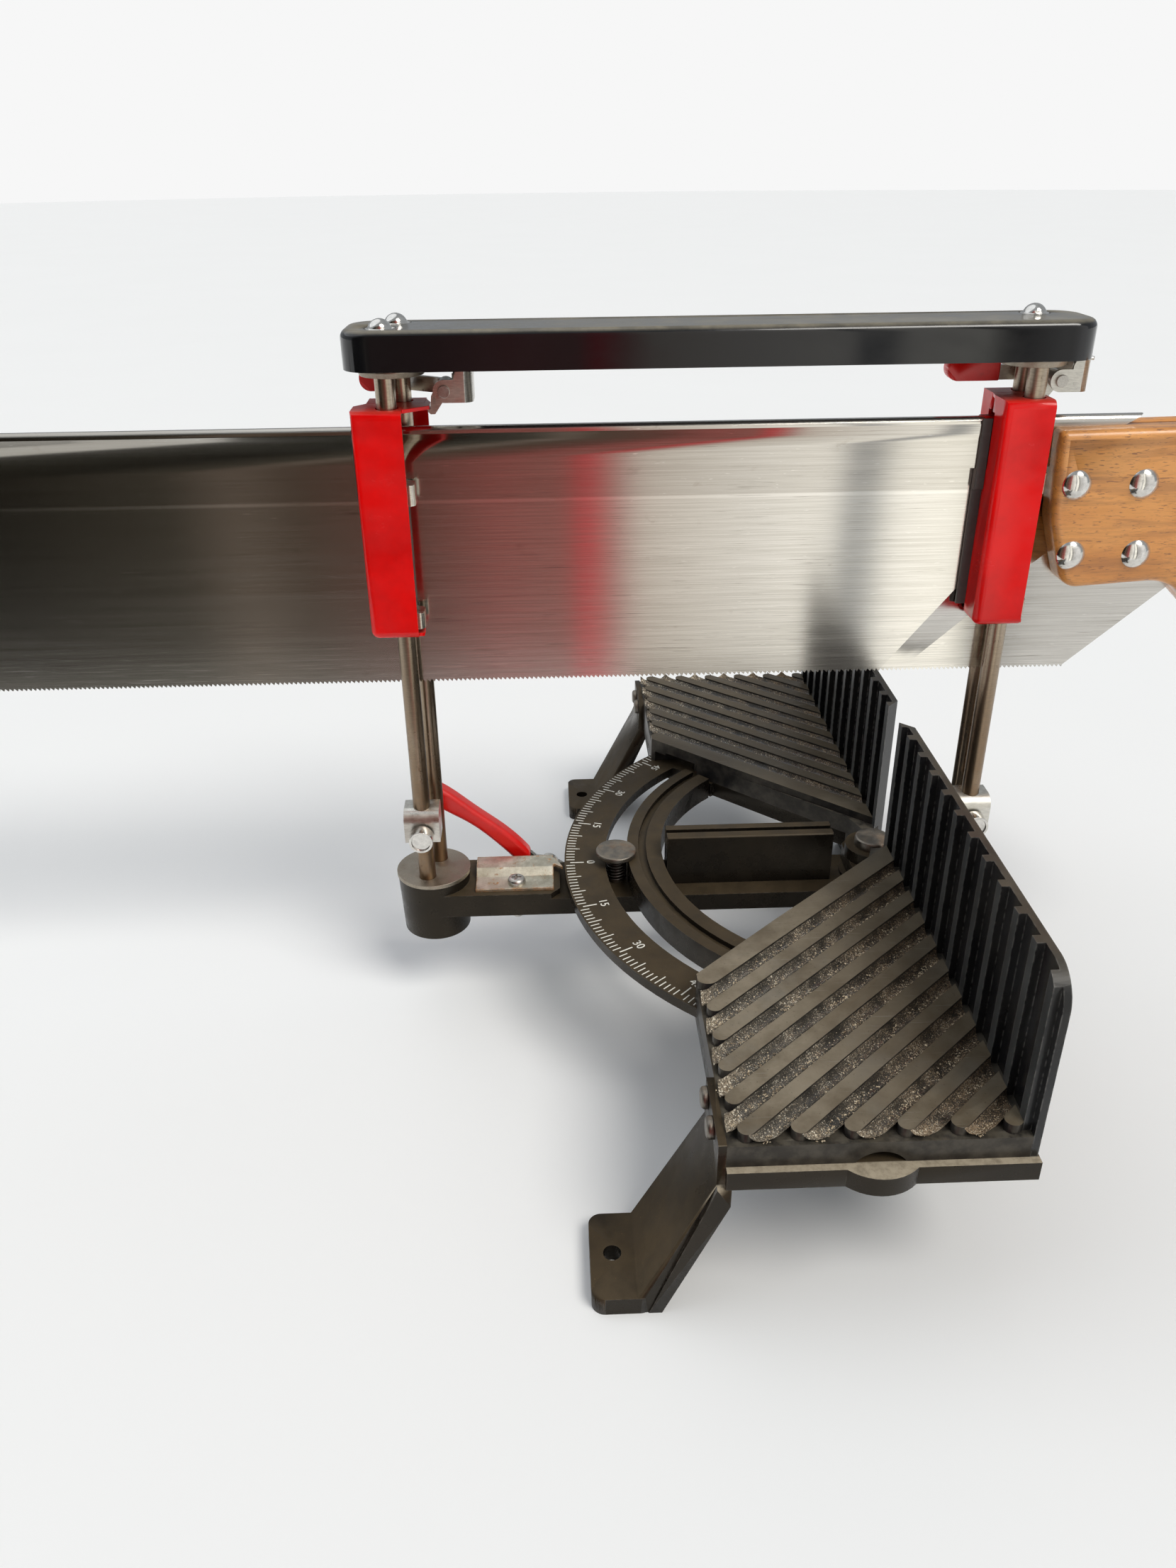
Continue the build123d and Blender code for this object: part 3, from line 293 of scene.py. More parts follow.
def rod_steel(name):
    """Ground rod, bronze-brown lower down."""
    s = Shade(name, (0.5, 0.47, 0.42), 0.25, 1.0)
    z = s.axis("Z")
    low = s.span(z, 0.26, 0.10)
    wave = s.noise(30, stretch=(1, 1, 3), detail=6)
    shade = s.mix(s.times(low, s.span(wave, 0.2, 0.6)), (0.47, 0.40, 0.31), (0.22, 0.14, 0.08))
    ring = s.span(s.noise(0.35, stretch=(8, 8, 1), detail=2, shift=2), 0.35, 0.65)
    shade = s.mix(s.times(ring, 0.3), shade, (0.18, 0.15, 0.12))
    spot = s.span(s.noise(2.4, stretch=(1, 1, 1.8), detail=7, shift=5), 0.64, 0.72)
    shade = s.mix(s.times(spot, 0.7), shade, (0.10, 0.055, 0.03))
    s.feed("Base Color", shade)
    s.feed("Roughness", s.span(wave, 0.3, 0.7, 0.2, 0.38))
    s.bump(s.noise(0.3, stretch=(6, 6, 1), detail=2), 0.01, 0.5)
    return s.mat


def blade_steel(name):
    """Blade ground along its length, with a painted dark reflection towards the toe, scratched above the
    teeth.
    """
    s = Shade(name, (0.7, 0.67, 0.62), 0.3, 1.0, Anisotropic=0.8)
    upright = s.add("ShaderNodeCombineXYZ")
    upright.inputs["Z"].default_value = 1.0
    s.feed("Tangent", upright.outputs[0])
    x, z = s.axis("X"), s.axis("Z")
    grind = s.noise(0.45, stretch=(120, 1, 1), detail=4)
    broad = s.noise(2.2, stretch=(90, 1, 1), detail=5, shift=2)
    shade = s.mix(s.span(grind, 0.3, 0.7), (0.64, 0.62, 0.575), (0.82, 0.80, 0.76))
    shade = s.mix(s.span(broad, 0.2, 0.8, 0.0, 0.12), shade, (0.50, 0.47, 0.43))
    # painted reflection: the steel darker and browner towards the toe
    shade = s.mix(s.span(x, 0.05, -0.22, 0.0, 0.6), shade, (0.25, 0.22, 0.165))
    band = s.span(z, 0.2500, 0.2515)
    shade = s.mix(s.times(band, 0.3), shade, (0.40, 0.37, 0.33))
    line = s.times(s.span(z, 0.2492, 0.2500), s.span(z, 0.2514, 0.2506))
    shade = s.mix(s.times(line, 0.6), shade, (0.93, 0.91, 0.87))
    low = s.span(z, 0.200, 0.172)
    scratch = s.span(s.noise(0.45, stretch=(60, 1, 1.0), detail=2, shift=4, distort=0.4), 0.6, 0.68)
    shade = s.mix(s.times(scratch, low, 0.6), shade, (0.92, 0.89, 0.84))
    nick = s.span(s.noise(0.8, stretch=(7, 1, 0.7), detail=2, shift=12), 0.70, 0.74)
    shade = s.mix(s.times(nick, 0.6), shade, (0.95, 0.93, 0.9))
    dark = s.span(s.noise(0.6, stretch=(45, 1, 1), detail=3, shift=9), 0.62, 0.72)
    shade = s.mix(s.times(dark, 0.4), shade, (0.16, 0.14, 0.11))
    stain = s.span(s.noise(13, stretch=(1.6, 1, 1), detail=8, rough=0.72, shift=6), 0.6, 0.72)
    shade = s.mix(s.times(stain, 0.3), shade, (0.22, 0.16, 0.11))
    s.feed("Base Color", shade)
    s.feed("Roughness", s.span(broad, 0.3, 0.75, 0.165, 0.195))
    s.bump(grind, 0.002, 0.3)
    return s.mat


def beech(name):
    """Varnished beech with the short dark flecks of the species."""
    s = Shade(name, (0.6, 0.32, 0.13), 0.38, Coat_Weight=0.45, Coat_Roughness=0.22)
    broad = s.noise(26, stretch=(3, 1, 1), detail=5, rough=0.55, distort=0.3)
    wood = s.mix(s.span(broad, 0.3, 0.7), (0.60, 0.225, 0.042), (0.82, 0.36, 0.085))
    ring = s.noise(5, stretch=(12, 1.5, 1), detail=5, shift=2, distort=0.4)
    wood = s.mix(s.times(s.span(ring, 0.45, 0.68), 0.5), wood, (0.30, 0.115, 0.035))
    fleck = s.span(s.noise(0.75, stretch=(5.5, 1.5, 1), detail=2, shift=4), 0.6, 0.68)
    wood = s.mix(s.times(fleck, 0.75), wood, (0.25, 0.095, 0.035))
    pore = s.span(s.noise(0.35, stretch=(14, 1.5, 1), detail=1, shift=8), 0.62, 0.7)
    wood = s.mix(s.times(pore, 0.35), wood, (0.20, 0.08, 0.03))
    grime = s.times(s.edges(1.6), s.span(s.noise(9, detail=6, shift=3), 0.4, 0.65), 0.5)
    wood = s.mix(grime, wood, (0.13, 0.06, 0.03))
    s.feed("Base Color", wood)
    s.feed("Roughness", s.span(s.noise(8, detail=6, shift=5), 0.3, 0.7, 0.3, 0.5))
    s.bump(fleck, 0.04, -0.35)
    s.bump(pore, 0.02, -0.3)
    return s.mat


def rusty_zinc(name):
    """Zinc plate gone dull, with rust creeping in from its edges."""
    s = Shade(name, (0.55, 0.5, 0.4), 0.4, 1.0)
    cloud = s.noise(7, detail=7, rough=0.7)
    plate = s.mix(s.span(cloud, 0.3, 0.7), (0.48, 0.44, 0.34), (0.78, 0.74, 0.62))
    creep = s.calc("ADD", s.noise(5, detail=8, rough=0.75, shift=3), s.times(s.edges(1.5), 0.16))
    rust = s.span(creep, 0.55, 0.66)
    tint = s.mix(s.span(s.noise(1.2, detail=5, shift=5), 0.35, 0.7), (0.24, 0.085, 0.02), (0.50, 0.23, 0.06))
    s.feed("Base Color", s.mix(rust, plate, tint))
    s.feed("Metallic", s.blend(rust, 1.0, 0.0))
    s.feed("Roughness", s.blend(rust, 0.45, 0.85))
    s.bump(s.times(rust, s.noise(0.8, detail=6)), 0.15, 0.7)
    return s.mat


def plastic(name, tone, rough=0.3):
    """Moulded plastic, scuffed and a little faded on top."""
    s = Shade(name, tone, rough, Coat_Weight=0.2, Coat_Roughness=0.2)
    scuff = s.span(s.noise(3, stretch=(4, 1, 1), detail=7), 0.5, 0.75)
    shade = s.mix(s.times(scuff, 0.35), tone, tuple(min(1, c * 1.25 + 0.03) for c in tone))
    dirt = s.span(s.noise(6, detail=7, shift=3), 0.55, 0.75)
    shade = s.mix(s.times(dirt, 0.3), shade, tuple(c * 0.35 for c in tone))
    dusty(s, shade, s.span(scuff, 0.0, 1.0, rough, rough + 0.2), 0.35)
    s.bump(s.noise(1.5, detail=4), 0.04, 0.3)
    return s.mat


def sawdust(name):
    """Gloss black groove floor under a fine, uneven film of sawdust, thickest where the groove runs out, with
    painted shade darkening the film and grains towards the fence.
    """
    s = Shade(name, (0.012, 0.011, 0.011), 0.25, Coat_Weight=0.5, Coat_Roughness=0.1)
    x, y = s.axis("X"), s.calc("ABSOLUTE", s.axis("Y"))
    patch = s.noise(11, detail=6, rough=0.6, shift=4)
    mouth = s.calc("MAXIMUM", s.span(y, 0.190, 0.199), s.span(x, 0.048, 0.040))
    cover = s.calc("ADD", s.calc("ADD", s.times(patch, 0.55), 0.235), s.times(mouth, 0.14))
    cover = s.calc("ADD", cover, s.span(x, 0.09, 0.142, 0.0, 0.05))
    grain = s.noise(0.45, detail=3, rough=0.7)
    held = s.span(s.calc("ADD", s.times(cover, 0.6), s.times(grain, 0.8)), 0.735, 0.80)
    film = s.span(cover, 0.38, 0.62, 0.25, 0.85)
    # painted shade: the dust film darker and browner towards the fence
    brown = s.mix(s.span(x, 0.05, 0.142), (0.090, 0.080, 0.064), (0.048, 0.034, 0.020))
    tone = s.axis("X", s.cells(0.6))
    tan = s.mix(tone, (0.12, 0.090, 0.060), (0.56, 0.47, 0.34))
    tan = s.mix(s.span(tone, 0.72, 0.92), tan, (0.88, 0.80, 0.64))
    # painted shade: the held grains darker and browner towards the fence
    tan = s.mix(s.span(x, 0.06, 0.142, 0.0, 0.65), tan, (0.26, 0.16, 0.075))
    shade = s.mix(film, (0.010, 0.010, 0.010), brown)
    s.feed("Base Color", s.mix(held, shade, tan))
    s.feed("Roughness", s.blend(held, s.blend(film, 0.22, 0.5), 0.85))
    s.feed("Coat Weight", s.blend(held, 0.5, 0.05))
    s.bump(s.times(held, s.cells(0.6, output="Distance")), 0.18, 0.6)
    return s.mat


def flake(name):
    """Loose flakes, each its own tone."""
    s = Shade(name, SAWDUST_PALE, 0.7)
    tone = s.axis("Y", s.cells(1.6))
    shade = s.mix(tone, (0.20, 0.14, 0.08), (0.72, 0.60, 0.42))
    s.feed("Base Color", shade)
    return s.mat


def scale_paint(name):
    """Off-white paint in the scale marks, grubby and thin in places."""
    s = Shade(name, (0.6, 0.58, 0.52), 0.55)
    wear = s.span(s.noise(3.5, detail=6), 0.5, 0.75)
    s.feed("Base Color", s.mix(s.times(wear, 0.7), (0.80, 0.78, 0.70), (0.30, 0.27, 0.22)))
    s.bump(s.noise(0.4, detail=3), 0.03, 0.4)
    return s.mat


def floor_paint(name):
    s = Shade(name, (0.88, 0.88, 0.875), 0.7, Specular_IOR_Level=0.2)
    s.feed("Base Color", s.mix(s.noise(300, detail=3), (0.87, 0.87, 0.865), (0.89, 0.89, 0.885)))
    return s.mat


MATERIALS = {
    "black_casting": casting("black_casting"),
    "table_casting": table_casting("table_casting"),
    "fence_casting": fence_casting("fence_casting"),
    "black_enamel": enamel("black_enamel", (0.006, 0.006, 0.007), 1.0, 0.08, (0.235, 0.205, 0.145)),
    "zinc_screw": steel("zinc_screw", (0.60, 0.58, 0.54), 0.35),
    "rod_steel": rod_steel("rod_steel"),
    "grey_steel": steel("grey_steel", (0.41, 0.36, 0.29), 0.42, stained=0.35, dust=0.35),
    "bright_nickel": steel("bright_nickel", (0.78, 0.76, 0.72), 0.14, grain=2.0, stained=0.12, dust=0.12),
    "pointer_zinc": rusty_zinc("pointer_zinc"),
    "dark_steel": steel(
        "dark_steel", (0.24, 0.22, 0.19), 0.45, stain=(0.24, 0.11, 0.04), stained=0.6, dust=0.7),
    "spring_steel": steel("spring_steel", (0.10, 0.095, 0.09), 0.4, dust=0.1),
    "stamped_steel": steel(
        "stamped_steel", (0.74, 0.72, 0.66), 0.32, stretch=(5, 5, 1), stained=0.15, dust=0.2),
    "red_plastic": plastic("red_plastic", (0.72, 0.006, 0.004)),
    "red_paint": enamel("red_paint", (0.86, 0.001, 0.001), 0.4, 0.14, (0.20, 0.11, 0.07), 0.12),
    "clip_nickel": steel("clip_nickel", (0.70, 0.66, 0.58), 0.2, stretch=(6, 6, 1), stained=0.2, dust=0.25),
    "liner_plastic": plastic("liner_plastic", (0.045, 0.040, 0.036), 0.4),
    "blade_steel": blade_steel("blade_steel"),
    "spine_steel": blade_steel("spine_steel"),
    "beech": beech("beech"),
}
SAWDUST_MAT = sawdust("sawdust")
FLAKE_MAT = flake("sawdust_flakes")
SCALE_MAT = scale_paint("scale_paint")


# ---------------------------------------------------------------- mesh helper
BODY_OF = {node: body for body, names in frame["record"]["behaviour"]["bodies"].items() for node in names}
SLOT_OF = {item["node"]: item["material_slot"] for item in frame["record"]["subparts"]}


def smooth_by_angle(mesh, degrees=35):
    mesh.shade_smooth()
    mesh.set_sharp_from_angle(angle=math.radians(degrees))


def new_piece(name, mesh, body, material):
    piece = bpy.data.objects.new(name, mesh)
    bpy.context.scene.collection.objects.link(piece)
    mesh.materials.clear()
    mesh.materials.append(material)
    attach(piece, body)
    return piece


def dressed(node, width, segments=2, angle=32):
    """A copy of a CAD node with its sharp edges rounded by width mm, in the node's place."""
    mesh = frame["nodes"][node].data.copy()
    work = bmesh.new()
    work.from_mesh(mesh)
    bmesh.ops.remove_doubles(work, verts=work.verts, dist=1e-6)
    if width:
        bmesh.ops.dissolve_limit(work, angle_limit=math.radians(1.0), verts=work.verts, edges=work.edges)
    work.to_mesh(mesh)
    work.free()
    smooth_by_angle(mesh, angle)
    piece = new_piece(node + "_skin", mesh, BODY_OF[node], MATERIALS[SLOT_OF[node]])
    if width:
        bevel = piece.modifiers.new("round", "BEVEL")
        bevel.width = width * MM
        bevel.segments = segments
        bevel.limit_method = "ANGLE"
        bevel.angle_limit = math.radians(angle)
        bevel.use_clamp_overlap = True
        bevel.harden_normals = True
    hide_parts(node)
    return piece


def from_bmesh(work, name):
    mesh = bpy.data.meshes.new(name)
    work.to_mesh(mesh)
    work.free()
    return mesh


STEPS_PER_TURN = 28


def spring(name, x, z0, z1, radius, wire, turns, body, slot):
    """Helical spring about a vertical axis."""
    curve = bpy.data.curves.new(name, "CURVE")
    curve.dimensions = "3D"
    curve.bevel_depth = wire * MM
    curve.bevel_resolution = 3
    line = curve.splines.new("POLY")
    count = int(turns * STEPS_PER_TURN)
    line.points.add(count)
    for k in range(count + 1):
        a = k / STEPS_PER_TURN * 2 * math.pi
        z = z0 + wire + (z1 - z0 - 2 * wire) * k / count
        line.points[k].co = (*at(x + radius * math.cos(a), radius * math.sin(a), z), 1)
    scratch = bpy.data.objects.new(name + "_curve", curve)
    mesh = bpy.data.meshes.new_from_object(scratch)
    bpy.data.objects.remove(scratch)
    smooth_by_angle(mesh, 60)
    return new_piece(name, mesh, body, MATERIALS[slot])


# ---------------------------------------------------------------- CAD nodes in their finish
EDGE = {                 # rounding of sharp edges in mm; 0 keeps the CAD mesh as it is
    "base_frame": 0.7, "table_near": 0.55, "table_far": 0.55, "fence_near": 0.7, "fence_far": 0.7,
    "leg_front_near": 0.0, "leg_front_far": 0.0, "leg_rear_near": 0.0, "leg_rear_far": 0.0,
    "swing_arm": 0.7, "support_block": 0.6, "top_bar": 0.0, "spine": 0.0, "blade": 0.0, "handle": 0.0,
    "clamp_bolt": 0.5, "pointer": 0.3, "lock_lever": 0.3, "lock_grip": 0.0, "depth_stop_left": 0.5,
    "depth_stop_right": 0.5,
    **{f"guide_{side}_{half}": 0.0 for side in ("left", "right") for half in ("front", "rear")},
    **{f"catch_{kind}_{side}": 0.0 for side in ("left", "right") for kind in ("bracket", "grip")},
}
OTHER_EDGE = 0.2
for node_name in sorted(frame["nodes"]):
    if node_name != "clamp_spring":
        dressed(node_name, EDGE.get(node_name, OTHER_EDGE))


# ---------------------------------------------------------------- scale on the ring
RING_TOP = 70.0
LAST_TICK = 49                       # degrees
MAIN_TICK = (142.4, 149.2)           # inner and outer radius of the marks beside the numbers
FIVE_TICK_IN, TICK_IN, TICK_OUT = 144.6, 146.9, 151.2
NUMBER_RADIUS, NUMBER_SIZE = 139.2, 5.7


def add_bar(work, radius_in, radius_out, degrees, width, top, height=0.12):
    """A raised mark along a radius of the ring."""
    a = math.radians(degrees)
    along = Vector((-math.cos(a), math.sin(a), 0))
    across = Vector((along.y, -along.x, 0))
    rows = []
    for z, shrink in ((top - 0.05, 0.0), (top + height, 0.12)):
        ring = []
        for r, side in ((radius_in, -1), (radius_out, -1), (radius_out, 1), (radius_in, 1)):
            inset = shrink if r == radius_in else -shrink
            p = along * (r + inset) + across * side * (width / 2 - shrink)
            ring.append(work.verts.new(at(p.x, p.y, z)))
        rows.append(ring)
    work.faces.new(rows[1])
    for k in range(4):
        j = (k + 1) % 4
        work.faces.new((rows[0][k], rows[0][j], rows[1][j], rows[1][k]))


def scale_marks():
    work = bmesh.new()
    for degree in range(-LAST_TICK, LAST_TICK + 1):
        if degree % 15 == 0:
            add_bar(work, *MAIN_TICK, degree, 0.75, RING_TOP)
            continue
        inner = FIVE_TICK_IN if degree % 5 == 0 else TICK_IN
        add_bar(work, inner, TICK_OUT, degree, 0.62, RING_TOP)
    bmesh.ops.recalc_face_normals(work, faces=work.faces)
    new_piece("scale_marks", from_bmesh(work, "scale_marks"), "base", SCALE_MAT)


def numeral(text, degrees, index):
    """A raised number that reads from outside the ring."""
    font = bpy.data.curves.new("numeral", "FONT")
    font.body = text
    font.size = NUMBER_SIZE * MM
    font.extrude = 0.09 * MM
    font.bevel_depth = 0.04 * MM
    font.offset = -0.03 * MM
    font.align_x = "CENTER"
    font.align_y = "CENTER"
    font.space_character = 1.02
    scratch = bpy.data.objects.new("numeral", font)
    mesh = bpy.data.meshes.new_from_object(scratch)
    bpy.data.objects.remove(scratch)
    a = math.radians(degrees)
    out = Vector((-math.cos(a), math.sin(a), 0))
    place = at(out.x * NUMBER_RADIUS, out.y * NUMBER_RADIUS, RING_TOP + 0.05)
    turn = math.atan2(-out.y, -out.x) - math.pi / 2
    mesh.transform(Matrix.Translation(place) @ Matrix.Rotation(turn, 4, "Z"))
    new_piece(f"scale_number_{index}", mesh, "base", SCALE_MAT)


scale_marks()
for index, degree in enumerate(range(-45, 46, 15)):
    numeral(str(abs(degree)), degree, index)


# ---------------------------------------------------------------- sawdust in the grooves
RIB_ANGLE = math.radians(42.5)
RIB_FIRST, RIB_PITCH, RIB_COUNT = 26.8, 17.0, 11
GROOVE_FLOOR = 79.3
GROOVE_HALF = 3.18       # half the groove's width
GROOVE_DROP = 4.23       # from a rib's corner to the groove's middle, along the fence
BED_STEP = 0.7           # spacing of the bed's rows
BED_COLUMNS = 16
SIDE_RISE, SIDE_POWER = 2.9, 2.6     # how the dust climbs the groove's flanks
TABLE_FRONT, TABLE_END, FENCE_FACE = -99.7, 199.7, 3.0


def groove_line(k):
    """Start on the fence and length of groove k of the near table, in mm."""
    y = -(RIB_FIRST + RIB_PITCH * k) - GROOVE_DROP
    reach = min((FENCE_FACE - TABLE_FRONT) / math.cos(RIB_ANGLE), (TABLE_END + y) / math.sin(RIB_ANGLE))
    return y, reach


def groove_point(y0, s, w):
    """Point s mm along a groove and w mm beside its middle."""
    x = FENCE_FACE - s * math.cos(RIB_ANGLE) + w * math.sin(RIB_ANGLE)
    y = y0 - s * math.sin(RIB_ANGLE) - w * math.cos(RIB_ANGLE)
    return x, y


def flank_rise(w):
    """Height of the dust above the groove's floor, w mm from its middle."""
    return SIDE_RISE * abs(w / GROOVE_HALF) ** SIDE_POWER


def groove_bed(side):
    """A concave bed of packed dust in every groove of one table."""
    work = bmesh.new()
    for k in range(RIB_COUNT - 1):
        y0, reach = groove_line(k)
        rows = []
        count = int((reach + 8) / BED_STEP)
        for i in range(count + 1):
            row = []
            for j in range(BED_COLUMNS + 1):
                w = GROOVE_HALF * (2 * j / BED_COLUMNS - 1)
                s_start = w * math.tan(RIB_ANGLE)
                s_end = min(
                    (FENCE_FACE - TABLE_FRONT) / math.cos(RIB_ANGLE) + s_start,
                    (TABLE_END + y0) / math.sin(RIB_ANGLE) - w / math.tan(RIB_ANGLE))
                s = s_start + (s_end - s_start) * i / count
                x, y = groove_point(y0, s, w)
                lip = 1.6 * math.exp(-((s_end - s) / 2.4) ** 2)
                rough = noise.noise(Vector((x, y, k)) * 1.3) * 0.16
                rough += noise.noise(Vector((x, y, 9)) * 0.25) * 0.2
                z = GROOVE_FLOOR + 0.3 + flank_rise(w) + lip + rough
                row.append(work.verts.new(at(x, side * -y, z)))
            rows.append(row)
        for a, b in zip(rows, rows[1:]):
            for j in range(BED_COLUMNS):
                work.faces.new((a[j], a[j + 1], b[j + 1], b[j]))
    bmesh.ops.recalc_face_normals(work, faces=work.faces)
    if sum(f.normal.z for f in work.faces) < 0:
        bmesh.ops.reverse_faces(work, faces=work.faces)
    name = "groove_dust_near" if side < 0 else "groove_dust_far"
    mesh = from_bmesh(work, name)
    mesh.shade_smooth()
    new_piece(name, mesh, "base", SAWDUST_MAT)


def add_flake(work, centre, size, rng):
    """A small curled chip."""
    turn = Matrix.Rotation(rng.uniform(0, 6.28), 3, "Z") @ Matrix.Rotation(rng.uniform(-0.5, 0.5), 3, "X")
    long, wide = size, size * rng.uniform(0.35, 0.7)
    previous = None
    for k in range(4):
        t = k / 3 - 0.5
        lift = (0.25 - t * t) * size * 0.9
        pair = []
        for side in (-1, 1):
            p = turn @ Vector((t * long, side * wide / 2, lift))
            pair.append(work.verts.new(centre + p * MM))
        if previous:
            work.faces.new((previous[0], previous[1], pair[1], pair[0]))
        previous = pair


def groove_flakes(side):
    rng = random.Random(41 if side < 0 else 42)
    work = bmesh.new()
    for k in range(RIB_COUNT - 1):
        y0, reach = groove_line(k)
        for _ in range(int(reach * 3.4)):
            s = rng.uniform(2, reach - 1)
            w = rng.gauss(0, 1.15)
            if abs(w) > 2.6:
                continue
            x, y = groove_point(y0, s, w)
            if noise.noise(Vector((x, y, 3)) * 0.07) < rng.uniform(-0.45, 0.25):
                continue
            z = GROOVE_FLOOR + 0.45 + flank_rise(w)
            add_flake(work, at(x, side * -y, z), rng.uniform(0.35, 0.95), rng)
    name = "flakes_near" if side < 0 else "flakes_far"
    new_piece(name, from_bmesh(work, name), "base", FLAKE_MAT)


for table_side in (-1, 1):
    groove_bed(table_side)
    groove_flakes(table_side)


# ---------------------------------------------------------------- spring on the clamp bolt
CLAMP_X = -126.5
coil = spring("clamp_spring_coil", CLAMP_X, 60.6, 74.3, 4.75, 0.45, 7.5, "arm", "spring_steel")
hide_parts("clamp_spring")


# ---------------------------------------------------------------- floor, light, camera
def sun(name, direction, angle, strength, color):
    """Sun of the given angular size whose light travels along direction."""
    data = bpy.data.lights.new(name, "SUN")
    data.angle = math.radians(angle)
    data.energy = strength
    data.color = color
    lamp = bpy.data.objects.new(name, data)
    bpy.context.scene.collection.objects.link(lamp)
    lamp.rotation_euler = Vector(direction).to_track_quat("-Z", "Y").to_euler()


def stage_piece(work, name, material):
    mesh = from_bmesh(work, name)
    mesh.materials.append(material)
    piece = bpy.data.objects.new(name, mesh)
    bpy.context.scene.collection.objects.link(piece)
    return piece


def glow(name, stops, start, end, strength):
    """Emission that runs through the given colours along X, from start to end in metres."""
    material = bpy.data.materials.new(name)
    material.use_nodes = True
    tree = material.node_tree
    tree.nodes.clear()
    coords = tree.nodes.new("ShaderNodeTexCoord")
    split = tree.nodes.new("ShaderNodeSeparateXYZ")
    span = tree.nodes.new("ShaderNodeMapRange")
    span.inputs["From Min"].default_value = start
    span.inputs["From Max"].default_value = end
    ramp = tree.nodes.new("ShaderNodeValToRGB")
    points = ramp.color_ramp.elements
    while len(points) < len(stops):
        points.new(0.5)
    for point, (place, color) in zip(points, stops):
        point.position = (place - start) / (end - start)
        point.color = (*color, 1)
    lamp = tree.nodes.new("ShaderNodeEmission")
    lamp.inputs["Strength"].default_value = strength
    out = tree.nodes.new("ShaderNodeOutputMaterial")
    tree.links.new(coords.outputs["Object"], split.inputs[0])
    tree.links.new(split.outputs["X"], span.inputs["Value"])
    tree.links.new(span.outputs["Result"], ramp.inputs["Fac"])
    tree.links.new(ramp.outputs["Color"], lamp.inputs["Color"])
    tree.links.new(lamp.outputs[0], out.inputs["Surface"])
    return material


def upright_card(x0, x1, y, z0, z1):
    work = bmesh.new()
    corners = ((x0, y, z0), (x1, y, z0), (x1, y, z1), (x0, y, z1))
    work.faces.new([work.verts.new(corner) for corner in corners])
    return work


def only_seen_by(piece, camera=False, glossy=False):
    """Stage pieces that throw no light or shadow of their own."""
    piece.visible_camera = camera
    piece.visible_glossy = glossy
    piece.visible_diffuse = False
    piece.visible_transmission = False
    piece.visible_volume_scatter = False
    piece.visible_shadow = False


FLOOR_HALF = 30          # metres
floor_work = bmesh.new()
bmesh.ops.create_grid(floor_work, x_segments=2, y_segments=2, size=FLOOR_HALF)
stage_piece(floor_work, "floor", floor_paint("floor_paint"))

# the room in front of the saw, which the blade and the enamel reflect: dark on the left,
# something red in the middle, a window on the right. Each stop is metres along X and a colour.
ROOM = [
    (-0.60, (0.018, 0.016, 0.010)), (-0.40, (0.014, 0.012, 0.008)), (-0.28, (0.060, 0.052, 0.040)),
    (-0.235, (0.170, 0.135, 0.110)), (-0.19, (0.090, 0.062, 0.045)), (-0.11, (0.150, 0.062, 0.050)),
    (-0.050, (0.300, 0.090, 0.080)), (-0.004, (0.270, 0.110, 0.095)), (0.010, (0.600, 0.025, 0.040)),
    (0.030, (0.450, 0.220, 0.200)), (0.048, (0.680, 0.620, 0.550)), (0.130, (0.950, 0.920, 0.860)),
    (0.185, (1.200, 1.170, 1.090)), (0.196, (0.330, 0.340, 0.350)), (0.214, (0.420, 0.430, 0.430)),
    (0.228, (1.250, 1.220, 1.130)), (0.282, (1.400, 1.370, 1.250)), (0.302, (0.080, 0.075, 0.070)),
    (0.340, (0.650, 0.640, 0.620)), (0.600, (0.900, 0.900, 0.900))]
room_light = glow("room_light", ROOM, ROOM[0][0], ROOM[-1][0], 1.0)
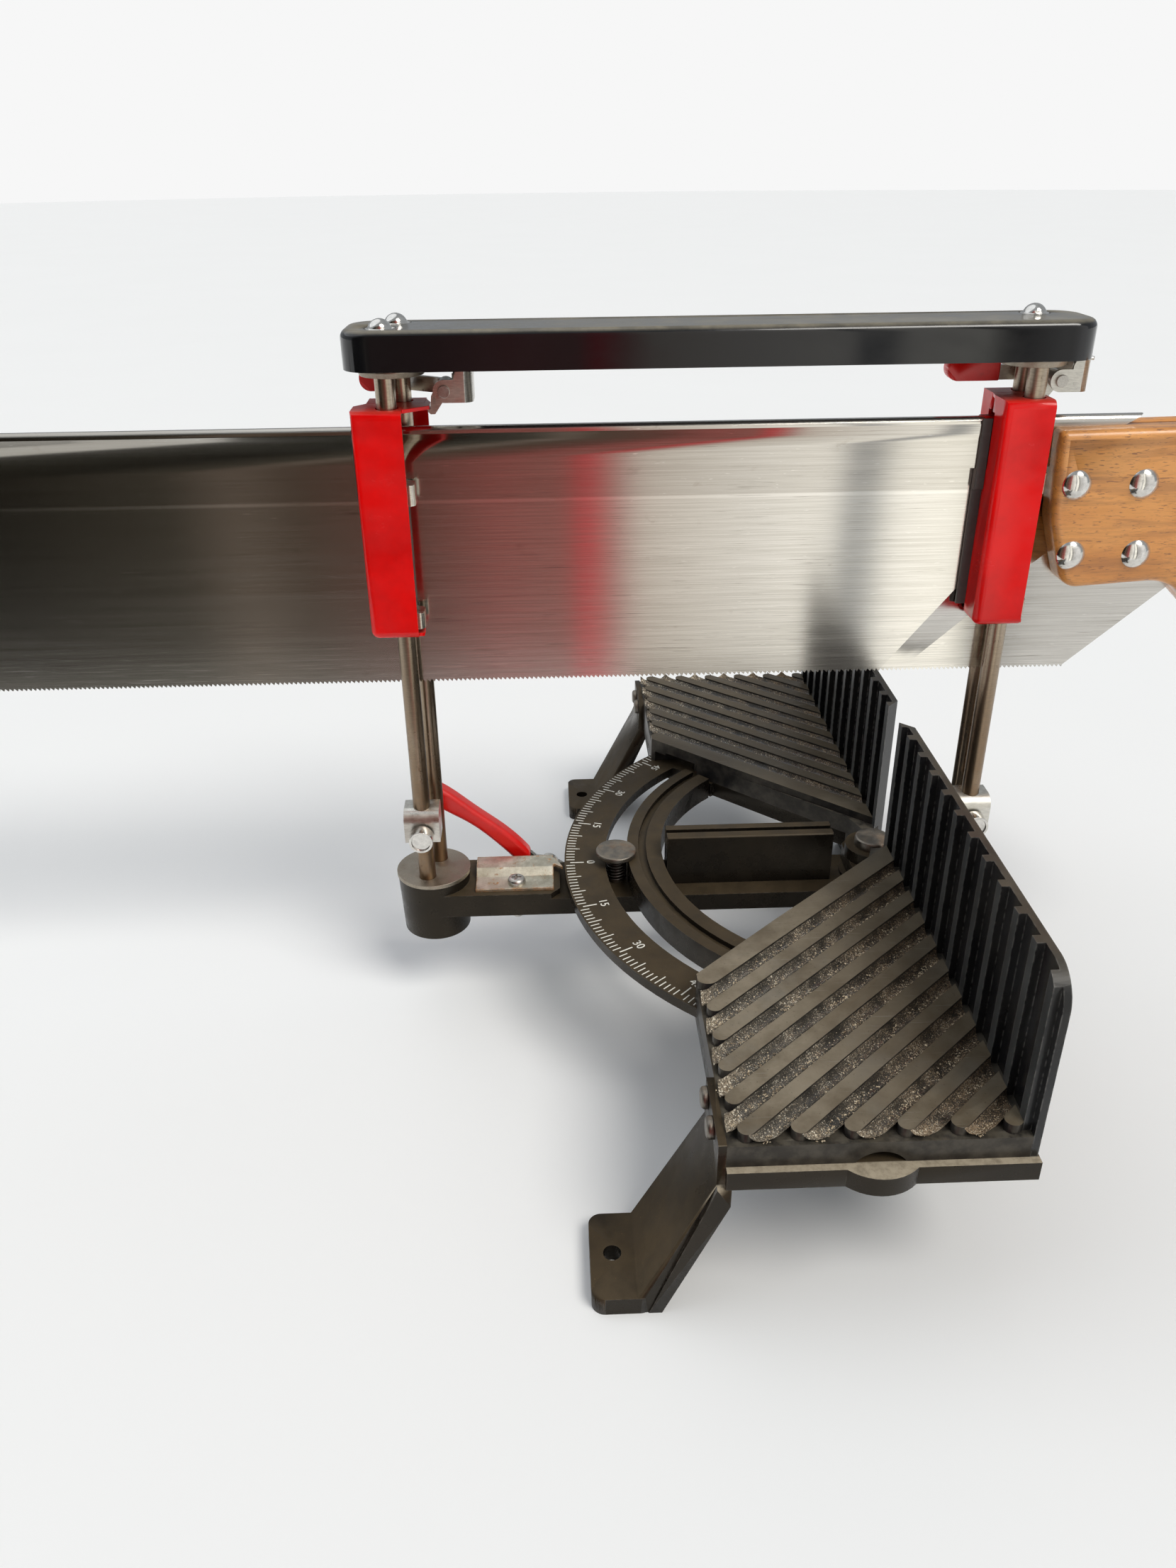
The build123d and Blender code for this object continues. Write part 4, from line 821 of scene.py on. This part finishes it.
room = stage_piece(upright_card(-1.2, 1.2, -0.33, 0.001, 0.75), "room", room_light)
only_seen_by(room, glossy=True)

BACKDROP_R, BACKDROP_DEPTH = 12, 12
PALE = (0.93, 0.93, 0.93)
wall = bmesh.new()
bmesh.ops.create_cone(wall, segments=96, radius1=BACKDROP_R, radius2=BACKDROP_R, depth=BACKDROP_DEPTH,
                      cap_ends=False)
wall_light = glow("backdrop_white", [(-1, PALE), (1, PALE)], -1, 1, 1.0)
only_seen_by(stage_piece(wall, "backdrop", wall_light), camera=True)

world = bpy.data.worlds.new("studio")
world.use_nodes = True
sky = world.node_tree.nodes["Background"].inputs
sky["Color"].default_value = (0.90, 0.95, 1.0, 1)
sky["Strength"].default_value = 0.38
bpy.context.scene.world = world
sun("window_sun", (-0.5, 0.55, -1.0), 28, 1.9, (1, 0.97, 0.92))
sun("fill_sun", (0.6, -0.35, -1.0), 70, 0.8, (0.93, 0.96, 1))
bpy.context.scene.view_settings.view_transform = "Standard"

FOCAL_PX = 1665.65
IMAGE_W = 1659
SENSOR = 36              # mm
CAMERA_PLACE = Vector((-0.0168, -0.4940, 0.3806))
YAW, PITCH, ROLL = math.radians(1.7715), math.radians(28.3605), math.radians(-0.670)
camera_data = bpy.data.cameras.new("camera")
camera_data.sensor_fit = "HORIZONTAL"
camera_data.sensor_width = SENSOR
camera_data.lens = SENSOR * FOCAL_PX / IMAGE_W
camera_data.clip_start = 0.01
camera = bpy.data.objects.new("camera", camera_data)
bpy.context.scene.collection.objects.link(camera)
forward = Vector((math.sin(YAW) * math.cos(PITCH), math.cos(YAW) * math.cos(PITCH), -math.sin(PITCH)))
right = Vector((math.cos(YAW), -math.sin(YAW), 0))
upward = right.cross(forward)
turned_right = math.cos(ROLL) * right + math.sin(ROLL) * upward
turned_up = -math.sin(ROLL) * right + math.cos(ROLL) * upward
pose = Matrix((turned_right, turned_up, -forward)).transposed().to_4x4()
pose.translation = CAMERA_PLACE
camera.matrix_world = pose
bpy.context.scene.camera = camera
